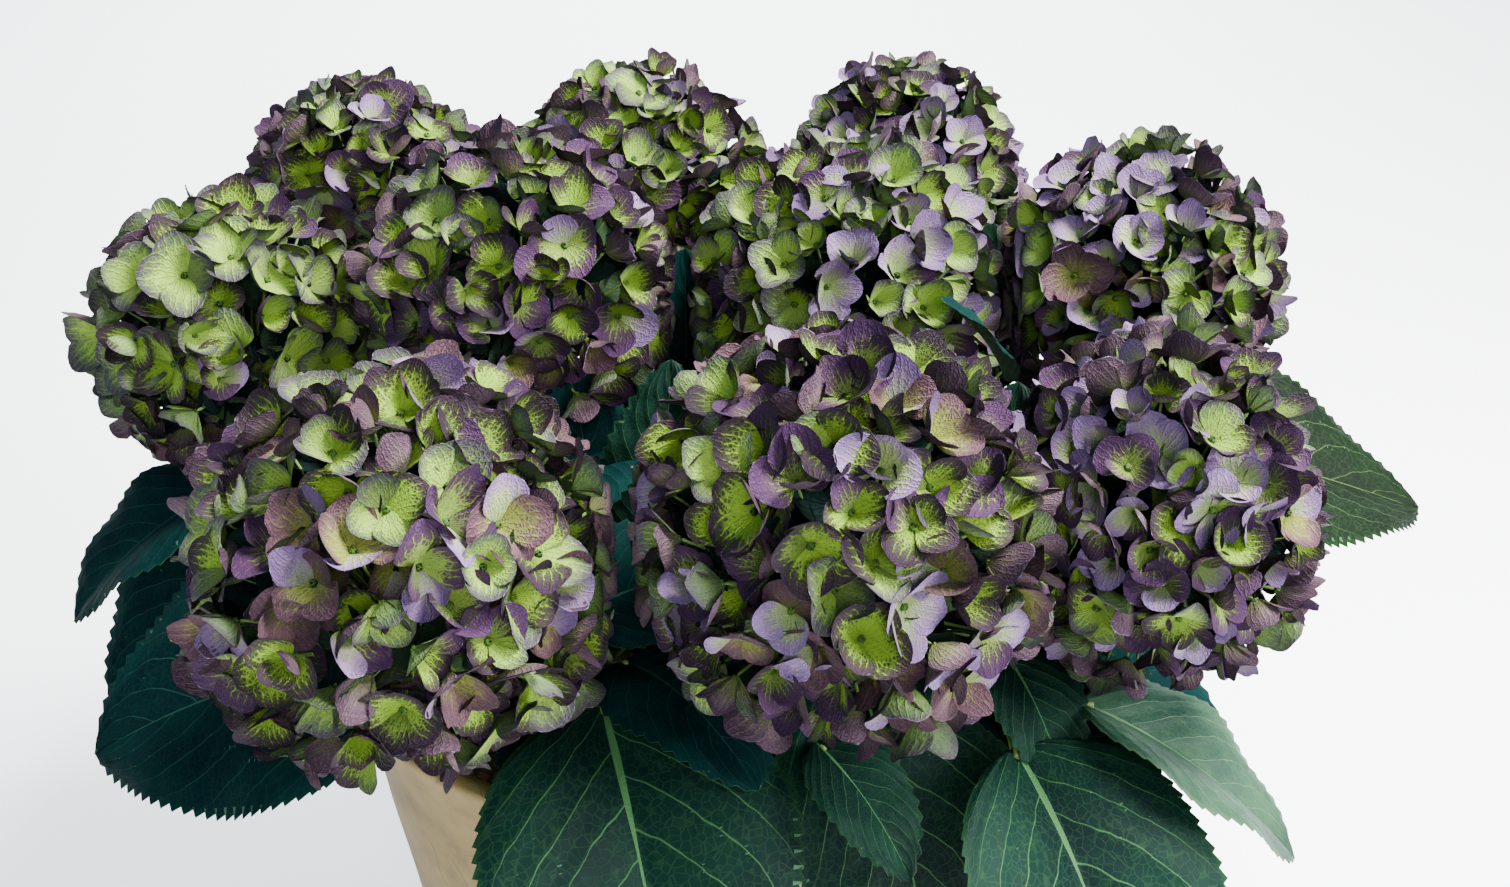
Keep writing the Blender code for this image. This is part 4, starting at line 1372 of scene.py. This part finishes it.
soil_points = []
for radius in np.linspace(SOIL_MIDDLE, SOIL_RADIUS, SOIL_RINGS):
    for turn in np.arange(SOIL_SIDES) * math.tau / SOIL_SIDES:
        x = radius * math.cos(turn)
        y = radius * math.sin(turn)
        soil_points.append((x, y, soil_height(x, y, radius)))
soil_points += [(x, y, SOIL_TOP - SOIL_SKIRT) for x, y, _ in soil_points[-SOIL_SIDES:]]
soil = Gathering()
soil.add(np.array(soil_points), grid_quads(SOIL_RINGS + 1, SOIL_SIDES, True))
print("soil points:", len(soil_points))

# %% Bark chips
CHIPS = 420
CHIPS_WITHIN = 0.150
CHIP_SIZES = ((0.003, 0.010), (0.002, 0.005), (0.0008, 0.0022))
CHIP_TILTS = (-0.35, 0.35)
CHIP_UNEVEN = (0.6, 1.1)
CHIP_LIFT = 0.0015
CHIP_SEED = 5
CHIP = np.array([(x, y, z) for z in (-1, 1) for x, y in ((-1, -1), (1, -1), (1, 1), (-1, 1))], dtype=float)
CHIP_FACES = np.array([(3, 2, 1, 0), (4, 5, 6, 7), (0, 1, 5, 4), (1, 2, 6, 5), (2, 3, 7, 6), (3, 0, 4, 7)])


def bark_chip(dice):
    """One chip of its own size and shape, turned, tilted and laid on the soil."""
    radius = CHIPS_WITHIN * math.sqrt(dice.random())
    turn = dice.uniform(0.0, math.tau)
    size = [dice.uniform(*limits) for limits in CHIP_SIZES]
    spin = dice.uniform(0.0, math.tau)
    tilt = dice.uniform(*CHIP_TILTS)
    x, y, z = (CHIP * size * [[dice.uniform(*CHIP_UNEVEN) for _ in range(3)] for _ in CHIP]).T
    turned_x = x * math.cos(spin) - y * math.sin(spin)
    turned_y = x * math.sin(spin) + y * math.cos(spin)
    spot = (radius * math.cos(turn), radius * math.sin(turn), SOIL_TOP + CHIP_LIFT)
    return np.stack([turned_x, turned_y, z + x * tilt], 1) + spot


dice = random.Random(CHIP_SEED)
for _ in range(CHIPS):
    soil.add(bark_chip(dice), CHIP_FACES, None, 1)
soil.make("crumbly_soil", soil_finishes, ["soil"], False)

# %% [markdown]
# ## Sepal finishes
# What looks like a petal on a mophead is a sepal: broad, rounded, and long-lasting. This
# plant's are turning with age, green at the throat and plum or bronze at the rim, with
# veins that fan out. A thin pale line along each rim is painted highlight, light caught by
# the edge. Each kind has a row of tiles on the map and each column of a row has its own
# blotches, so that no two neighbours match.

# %% Sepal tiles
SEPAL_TILES = 8
SEPAL_KINDS = ["lime", "half", "plum", "lavender", "bronze", "back_mauve", "back_green", "bead_and_shade"]
SEPAL_ROWS = {kind: row for row, kind in enumerate(SEPAL_KINDS)}
VEINS_ACROSS = 3.5
SEPAL_GLOSS = 0.05
SEPAL_SHEEN = 0.01
SEPAL_SHEEN_TINT = (0.80, 0.84, 1.0)
SEPAL_ROUGHNESS = 0.62
print("sepal kinds:", SEPAL_KINDS)


# %% What a sepal's colours follow
def sepal_border(recipe, signed, y):
    """One at the rounded rim of a sepal, falling to nothing toward its middle and its foot."""
    level = recipe.minus(recipe.times(y, 2.0), 1.0)
    side = recipe.times(signed, signed)
    end = recipe.times(level, level)
    border = recipe.minus(recipe.plus(side, end), recipe.times(side, end))
    return recipe.times(border, recipe.ease(y, 0.20, 0.60))


def sepal_lines(recipe, signed, cloud):
    """Veins that fan out along a sepal, bent by slow noise."""
    fan = recipe.plus(recipe.times(signed, VEINS_ACROSS), recipe.times(cloud, 1.3))
    off_line = recipe.reckon("ABSOLUTE", recipe.minus(recipe.reckon("FRACT", fan), 0.5))
    return recipe.ease(off_line, 0.30, 0.50)


def column_luck(recipe, number):
    """A number from 0 to 1 by chance, the same for all points of a column of tiles."""
    return recipe.node("TexWhiteNoise", [("W", number)], noise_dimensions="1D")


# %% Sepal material
def sepal_finish(name, throat, middle, rim, edge, vein, turn_at, net_share):
    """Colour runs from the throat to the rim; where it turns differs from tile to tile.

    Light veins carry the throat's colour into the rim, and a dark net lies over the rim. Some
    columns of tiles are deeper than others.
    """
    recipe = Recipe(name, SEPAL_ROUGHNESS, SEPAL_GLOSS, SEPAL_SHEEN, SEPAL_SHEEN_TINT)
    place, over, x, y = recipe.on_tile(SEPAL_TILES)
    signed = recipe.minus(recipe.times(x, 2.0), 1.0)
    border = sepal_border(recipe, signed, y)
    column = recipe.reckon("FLOOR", over)
    cloud = recipe.minus(recipe.cloud(place, 34.0, 3.0), 0.5)
    speck = recipe.cloud(place, 150.0, 3.0, 0.6)
    lines = sepal_lines(recipe, signed, cloud)
    net = recipe.net(place, 104.0, 0.26)
    carried = recipe.plus(recipe.times(lines, 0.24), recipe.times(net, 0.19))
    shift = recipe.times(recipe.minus(column_luck(recipe, column), 0.5), 0.24)
    reach = recipe.plus(recipe.times(y, 0.62), recipe.times(border, 0.38))
    reach = recipe.plus(reach, recipe.plus(recipe.times(cloud, 0.36), shift))
    reach = recipe.minus(reach, carried)
    colour = recipe.blend(recipe.ease(reach, turn_at - 0.30, turn_at), throat, middle)
    colour = recipe.blend(recipe.ease(reach, turn_at + 0.04, turn_at + 0.26), colour, rim)
    colour = recipe.blend(recipe.ease(speck, 0.45, 0.75, 0.0, 0.35), colour, middle)
    at_rim = recipe.ease(reach, turn_at + 0.06, turn_at + 0.26, 0.0, net_share)
    colour = recipe.blend(recipe.times(net, at_rim), colour, vein)
    deeper = column_luck(recipe, recipe.plus(column, 40.0))
    colour = recipe.blend(recipe.ease(deeper, 0.25, 1.0, 0.0, 0.60), colour, vein)
    # A thin pale line along the rim, in the edge colour: painted highlight where light catches the sepal's
    # edge.
    colour = recipe.blend(recipe.ease(border, 0.945, 0.98, 0.0, 0.50), colour, edge)
    relief = recipe.plus(recipe.times(lines, -0.6), recipe.times(speck, 0.5))
    relief = recipe.minus(relief, recipe.times(net, 0.4))
    return recipe.finish(colour, relief, 0.0008, 0.8)


# Throat, middle and rim colours, the pale edge colour that paints a highlight along the rim, and the vein
# colour; where the colour turns; how strong the veins are.
SEPAL_COLOURS = {
    "lime": ((116, 144, 52), (78, 92, 58), (62, 54, 64), (144, 138, 150), (38, 32, 42), 0.50, 0.40),
    "half": ((108, 138, 36), (48, 48, 34), (42, 27, 40), (134, 118, 140), (22, 14, 24), 0.42, 0.45),
    "plum": ((102, 126, 46), (60, 44, 54), (58, 36, 62), (140, 124, 156), (30, 16, 34), 0.30, 0.45),
    "lavender": ((124, 144, 78), (118, 100, 118), (112, 90, 128), (192, 184, 212), (58, 40, 70), 0.33, 0.38),
    "bronze": ((104, 110, 46), (82, 64, 60), (74, 52, 60), (138, 114, 120), (36, 22, 30), 0.26, 0.45),
    "back_mauve": ((90, 96, 56), (80, 64, 68), (72, 54, 64), (140, 124, 138), (32, 20, 32), 0.26, 0.55),
    "back_green": ((94, 118, 60), (74, 88, 60), (64, 62, 62), (124, 122, 116), (38, 42, 38), 0.50, 0.35),
    # The bead finish: the green high in its tiles colours the beads, and the dark teal low in its tiles is
    # painted shade on inner sepals, deep in a head.
    "bead_and_shade": ((4, 20, 18), (10, 28, 22), (80, 110, 34), (100, 116, 70), (60, 84, 50), 0.40, 0.10),
}
sepal_finishes = [sepal_finish("sepal_" + kind, *SEPAL_COLOURS[kind]) for kind in SEPAL_KINDS]
print("sepal finishes:", len(sepal_finishes))

# %% [markdown]
# ## Florets
# A mophead is a ball of florets, each with four overlapping sepals. Drawn flat and copied
# they would look like paper. Each sepal here is a curved fan that cups, turns its sides up
# and ruffles at its rim by its own numbers, and the spiral that seeds follow in a sunflower
# spreads the florets evenly over the ball.

# %% Head numbers
GOLDEN_ANGLE = math.pi * (3.0 - math.sqrt(5.0))
NEIGHBOUR_WITHIN = 0.020
HEAD_CLEARANCE = 0.0008
# Florets of each head, the length of their sepals in metres, and how far down they reach.
FLORETS = {
    "back_left": (126, 0.0205, -0.70),
    "back_middle": (130, 0.0205, -0.70),
    "back_right": (130, 0.0205, -0.70),
    "middle_left": (106, 0.0240, -0.70),
    "inner_left": (136, 0.0220, -0.70),
    "inner_right": (156, 0.0208, -0.70),
    "middle_right": (142, 0.0204, -0.70),
    "front_left": (164, 0.0228, -0.60),
    "front_middle": (168, 0.0226, -0.70),
    "front_right": (200, 0.0198, -0.90),
}
INNER_FLORETS = 90
SEPAL_CLAW = 0.36
WIDEST_AT = 0.62
BORDER_DEPTH = 0.012
# Shares of lime, half, plum, lavender and bronze florets on each head.
HEAD_TINTS = {
    "back_left": (3, 6, 3, 2, 0),
    "back_middle": (4, 5, 1, 3, 0),
    "back_right": (4, 5, 1, 4, 0),
    "middle_left": (7, 6, 2, 0, 0),
    "inner_left": (2, 7, 5, 1, 0),
    # inner_right and middle_right have lighter mixtures, partly their own colour and partly painted light,
    # since these two heads stand in stronger light.
    "inner_right": (8, 2, 0, 6, 0),
    "middle_right": (5, 2, 0, 8, 1),
    "front_left": (3, 8, 2, 0, 4),
    "front_middle": (2, 6, 4, 2, 4),
    "front_right": (1, 3, 5, 6, 1),
}
print("florets in all:", sum(count for count, _, _ in FLORETS.values()))


def cell_planes(name):
    """Planes that part a head's space from those of its neighbours."""
    centre, radius = Vector(HEADS[name][0]), HEADS[name][1]
    planes = []
    for other_name, (other_centre, other_radius, _) in HEADS.items():
        if other_name == name:
            continue
        gap = Vector(other_centre) - centre
        distance = gap.length
        if distance < radius + other_radius + NEIGHBOUR_WITHIN:
            share = (distance**2 + radius**2 - other_radius**2) / (2 * distance)
            planes.append((gap / distance, share - HEAD_CLEARANCE))
    return planes


def floret_axes(count, lowest):
    """Directions spread evenly over a head, from its top down to its skirt."""
    for index in range(count):
        height = 1.0 - (1.0 - lowest) * (index + 0.5) / count
        level = math.sqrt(1.0 - height * height)
        turn = index * GOLDEN_ANGLE
        yield Vector((level * math.cos(turn), level * math.sin(turn), height))

# %% Sepal shapes
# Numbers that each sepal draws for itself, from the low to the high end of a range.
SEPAL_VARIES = {
    "waist": (-0.05, 0.06),
    "size": (0.90, 1.08),
    "rise": (-12, 12),
    "curl": (-24, 62),
    "sides_up": (-0.06, 0.22),
    "ruffle": (0.015, 0.055),
    "ruffle_pace": (3.0, 6.5),
    "ruffle_start": (0.0, 6.28),
    "twist": (-0.12, 0.12),
    "tip": (-0.30, 0.12),
    "breadth": (0.54, 0.64),
    "swing": (-0.12, 0.12),
}
# Numbers that the four sepals of a floret share: its size and how many degrees it is open.
FLORET_SIZES = (0.82, 1.10)
FLORET_OPENINGS = (16, 46)
SHUT_RISES = 20.0
SHUT_UNCURLS = 34.0
LEAST_CURL = 0.05
# Every second sepal lies above its neighbours, by this much at its tip.
UPPER_PAIR = np.array([0.0, 0.0011, 0.0, 0.0011])[:, None, None]


def sepal_outline(rows, columns):
    """A square grid of points, rounded to a disc and narrowed to a claw at its foot."""
    level = np.linspace(-1.0, 1.0, rows)[:, None]
    across = np.linspace(-1.0, 1.0, columns)
    disc = 0.5 + 0.5 * level * np.sqrt(1.0 - 0.5 * across**2)
    wide = across * np.sqrt(1.0 - 0.5 * level**2)
    claw = SEPAL_CLAW + (1.0 - SEPAL_CLAW) * np.clip(disc / WIDEST_AT, 0.0, 1.0) ** 0.8
    return disc, wide * claw


def sepal_grids(dice, closing, rows, columns, length):
    """Sideways, forward and upward distances of the points of many florets, in their own frames.

    Closing says for each floret how far its cup is shut, from 0 at the top of a head to 1 at
    its skirt. Each sepal follows an arc and then takes its turn around the floret's middle.
    """
    count = len(closing)
    disc, wide = sepal_outline(rows, columns)
    shut = closing[:, None, None, None]

    def draw(name):
        return dice.uniform(*SEPAL_VARIES[name], (count, 4, 1, 1))

    def draw_shared(low, high):
        return dice.uniform(low, high, (count, 1, 1, 1))

    along = (0.06 + 0.94 * disc) * (1.0 + draw("waist") * np.cos(3.0 * wide) * disc**2)
    size = length * draw_shared(*FLORET_SIZES) * draw("size")
    opening = np.radians(draw_shared(*FLORET_OPENINGS) + SHUT_RISES * shut)
    rise = opening + np.radians(draw("rise"))
    curl = np.radians(draw("curl") - SHUT_UNCURLS * shut)
    curl = np.where(np.abs(curl) < LEAST_CURL, LEAST_CURL, curl)
    level = (np.sin(rise + curl * along) - np.sin(rise)) / curl
    height = (np.cos(rise) - np.cos(rise + curl * along)) / curl
    height = height + draw("sides_up") * wide**2 * along
    ruffle = draw("ruffle") * along**2.5
    height = height + ruffle * np.sin(draw("ruffle_pace") * wide + draw("ruffle_start"))
    height = height + draw("twist") * wide * along
    tip = np.clip(along - 0.60, 0.0, 1.0) ** 2 * 3.0
    height = height + draw("tip") * (1.0 - 0.6 * shut) * tip
    sideways = size * draw("breadth") * wide * (0.40 + 0.60 * level / along)
    reach = size * level
    reach = reach - 0.6 * sideways**2 / (np.abs(reach) + 0.5 * size)
    quarters = (np.arange(4) * math.pi / 2)[:, None, None]
    angle = quarters + draw_shared(0.0, math.pi / 2)
    angle = angle + draw("swing")
    x = reach * np.cos(angle) - sideways * np.sin(angle)
    y = reach * np.sin(angle) + sideways * np.cos(angle)
    return x, y, size * height + UPPER_PAIR * along


print("numbers drawn for each sepal:", len(SEPAL_VARIES))

# %% Florets on a head
FACES_UP = 0.08
SKIRT_FACES_DOWN = 0.38
SKIRT_BELOW = 0.45


def skirt_share(height):
    """How far a floret belongs to the skirt of a head, from 0 to 1."""
    return np.clip(SKIRT_BELOW - height, 0.0, 1.0)


def floret_frames(dice, axes, tall, radius, depth, lean):
    """Middle point and three directions for each floret of a head."""
    middle = axes * (1.0, 1.0, tall) * radius * depth[:, None]
    tilt = FACES_UP - SKIRT_FACES_DOWN * skirt_share(axes[:, 2:])
    facing = axes * (1.0, 1.0, 1.0 / tall) + np.array(UP) * tilt
    facing = facing + dice.normal(0.0, lean, facing.shape)
    facing /= np.linalg.norm(facing, axis=1)[:, None]
    return middle, facing, *square_to(facing)


def keep_in_cell(points, planes):
    """Points that come near a neighbouring head's space are pressed back softly."""
    for normal, limit in planes:
        normal = np.array(normal)
        knee = limit - BORDER_DEPTH
        over = np.maximum(points @ normal - knee, 0.0)
        pressed = BORDER_DEPTH * (1.0 - np.exp(-over / BORDER_DEPTH))
        points = points - (over - pressed)[..., None] * normal
    return points


print("a floret at the foot of a head is shut by:", skirt_share(-1.0))

# %% Colours on a head
# How strongly bronze and plum sepals gather in the skirt of a head.
SKIRT_TINTS = {"bronze": 7.0, "plum": 3.0}
STRAY_SEPALS = 0.2
GREEN_BACKS = 0.2
# The share of inner sepals that take the bead finish's dark teal, painted shade between the florets.
SHADED_INSIDE = 0.55
# Sepals with painted shade use only this share of their tile's height, its dark lower part.
PAINTED_SHADE_TILE_SHARE = 0.4


def sepal_places(rows, columns, tile_columns, tile_rows, share):
    """Places on the sepal map for every point of every sepal, on a share of each tile's height."""
    levels = np.linspace(0.03, 0.97, rows) ** 0.85
    y, x = np.meshgrid(levels, np.linspace(0.03, 0.97, columns), indexing="ij")
    x = (tile_columns[..., None, None] + x) / SEPAL_TILES
    y = (tile_rows[..., None, None] + y * share[..., None, None]) / SEPAL_TILES
    return np.stack([x, y], axis=-1).reshape(-1, 2)


def floret_kinds(dice, head, height, inner):
    """A finish for each sepal: the head's own mixture, browner towards its skirt."""
    count = len(height)
    weights = np.tile(np.array(HEAD_TINTS[head], dtype=float), (count, 1))
    low = np.clip((0.10 - height) / 0.8, 0.0, 1.0)
    for kind, gain in SKIRT_TINTS.items():
        weights[:, SEPAL_ROWS[kind]] += gain * low
    share = np.cumsum(weights, axis=1) / weights.sum(axis=1)[:, None]
    kinds = (dice.random(count)[:, None] > share).sum(axis=1)
    kinds = np.repeat(kinds[:, None], 4, axis=1)
    stray = dice.random((count, 4)) < STRAY_SEPALS
    neighbour = np.clip(kinds + dice.choice([-1, 1], (count, 4)), 0, SEPAL_ROWS["lavender"])
    kinds = np.where(stray, neighbour, kinds)
    # Some inner sepals take the dark bead finish, which paints the shade deep inside the head.
    shaded = inner & (dice.random((count, 1)) < SHADED_INSIDE)
    return np.where(shaded, SEPAL_ROWS["bead_and_shade"], kinds)


def back_kinds(dice, kinds):
    """A finish for the back of each sepal: green behind lime, mostly mauve behind the others."""
    green = dice.random(kinds.shape) < GREEN_BACKS
    green |= kinds == SEPAL_ROWS["lime"]
    return np.where(green, SEPAL_ROWS["back_green"], SEPAL_ROWS["back_mauve"])


print("share of stray sepals:", STRAY_SEPALS)

# %% One layer of florets
SEPAL_THICKNESS = 0.00035


def add_florets(gathering, head, dice, planes, layer, inner=False):
    """Florets of one layer of a head; sepals of the outer layer also have a back."""
    count, (rows, columns), depths, length, lean = layer
    centre, radius, tall = HEADS[head]
    axes = np.array([tuple(axis) for axis in floret_axes(count, FLORETS[head][2])])
    height = axes[:, 2]
    depth = 1.0 - dice.uniform(*depths, count) / radius
    middle, facing, first, second = floret_frames(dice, axes, tall, radius, depth, lean)
    grids = sepal_grids(dice, skirt_share(height), rows, columns, length)
    spread = (slice(None), None, None, None)
    points = middle[spread]
    for distance, direction in zip(grids, (first, second, facing)):
        points = points + distance[..., None] * direction[spread]
    kinds = floret_kinds(dice, head, height, inner)
    tile_columns = dice.integers(0, SEPAL_TILES, (count, 4))
    backs = back_kinds(dice, kinds)
    tile_share = np.where(kinds == SEPAL_ROWS["bead_and_shade"], PAINTED_SHADE_TILE_SHARE, 1.0)
    quads = grid_quads(rows, columns)
    faces = (np.arange(count * 4) * rows * columns)[:, None, None] + quads
    sheets = [(points, kinds, faces)]
    if not inner:
        sheets.append((points - facing[spread] * SEPAL_THICKNESS, backs, faces[..., ::-1]))
    for sheet, tile_rows, sheet_faces in sheets:
        sheet = np.array(centre) + keep_in_cell(sheet, planes)
        places = sepal_places(rows, columns, tile_columns, tile_rows, tile_share)
        finishes = np.repeat(tile_rows.ravel(), len(quads))
        gathering.add(sheet.reshape(-1, 3), sheet_faces.reshape(-1, 4), places, finishes)
    return np.array(centre) + keep_in_cell(middle, planes), facing


print("sepal thickness in millimetres:", SEPAL_THICKNESS * 1000)

# %% Beads
BEAD_SIZE = 0.0021
BEAD_SIDES = 6
# Height and radius of each ring of a bead, as shares of its size.
BEAD_RINGS = ((0.0, 0.85), (0.5, 1.0), (1.05, 0.75), (1.35, 0.30))


def add_beads(gathering, middles, facing, dice):
    """The small domed cluster in the middle of each floret."""
    turns = np.arange(BEAD_SIDES) * math.tau / BEAD_SIDES
    x, y = np.meshgrid(np.linspace(0.1, 0.9, BEAD_SIDES), np.linspace(0.75, 0.9, len(BEAD_RINGS)))
    quads = grid_quads(len(BEAD_RINGS), BEAD_SIDES, True)
    bead_and_shade = SEPAL_ROWS["bead_and_shade"]
    for place, up, first, second in zip(middles, facing, *square_to(facing)):
        spokes = np.cos(turns)[:, None] * first + np.sin(turns)[:, None] * second
        rings = [place + (up * level + spokes * radius) * BEAD_SIZE for level, radius in BEAD_RINGS]
        column = dice.integers(0, SEPAL_TILES)
        places = np.stack([column + x.ravel(), bead_and_shade + y.ravel()], 1) / SEPAL_TILES
        gathering.add(np.concatenate(rings), quads, places, bead_and_shade)


print("points of one bead:", BEAD_SIDES * len(BEAD_RINGS))

# %% All heads
FRONT_GRID = (6, 8)
BACK_GRID = (5, 7)
OUTER_DEPTHS = (0.018, 0.030)
OUTER_LEAN = 0.40
# Florets, grid of a sepal, depths below the head's surface, length of a sepal, and lean.
INNER_LAYER = (INNER_FLORETS, (4, 5), (0.040, 0.050), 0.025, 0.30)
HUB_BELOW = 0.35
# Shares of the way from the hub of a head to a floret, and the radii there.
FLORET_STALK = (0.15, 0.60, 0.985)
FLORET_STALK_RADII = (0.0016, 0.0011, 0.0008)
FLORET_STALK_SIDES = 3
HEAD_STALK_STEPS = 6
HEAD_STALK_SIDES = 8
HEAD_STALK_OVERLAP = 0.002
HEAD_STALK_INSIDE = 0.3
green_back = SEPAL_ROWS["back_green"]
for head, (centre, radius, _) in HEADS.items():
    planes = cell_planes(head)
    lots = np.random.default_rng(sum(ord(letter) * (place + 1) for place, letter in enumerate(head)))
    blossom = Gathering()
    grid = FRONT_GRID if head.startswith("front") else BACK_GRID
    count, sepal_length, _ = FLORETS[head]
    outer_layer = (count, grid, OUTER_DEPTHS, sepal_length, OUTER_LEAN)
    middles, facing = add_florets(blossom, head, lots, planes, outer_layer)
    add_beads(blossom, middles, facing, lots)
    add_florets(blossom, head, lots, planes, INNER_LAYER, True)
    hub = np.array(centre) - np.array(UP) * HUB_BELOW * radius
    for place in middles:
        line = [hub + (place - hub) * share for share in FLORET_STALK]
        add_round(blossom, line, FLORET_STALK_RADII, FLORET_STALK_SIDES, green_back)
    stem = by_name[head]
    start = stem.end - HEAD_STALK_OVERLAP
    end = stem.lengths[-1] - radius * HEAD_STALK_INSIDE
    radii = [STALK_RADII[0]] * HEAD_STALK_STEPS
    add_round(blossom, stretch(stem, start, end, HEAD_STALK_STEPS), radii, HEAD_STALK_SIDES, green_back)
    blossom.make("blossom_" + head, sepal_finishes, ["flower_head_" + head])
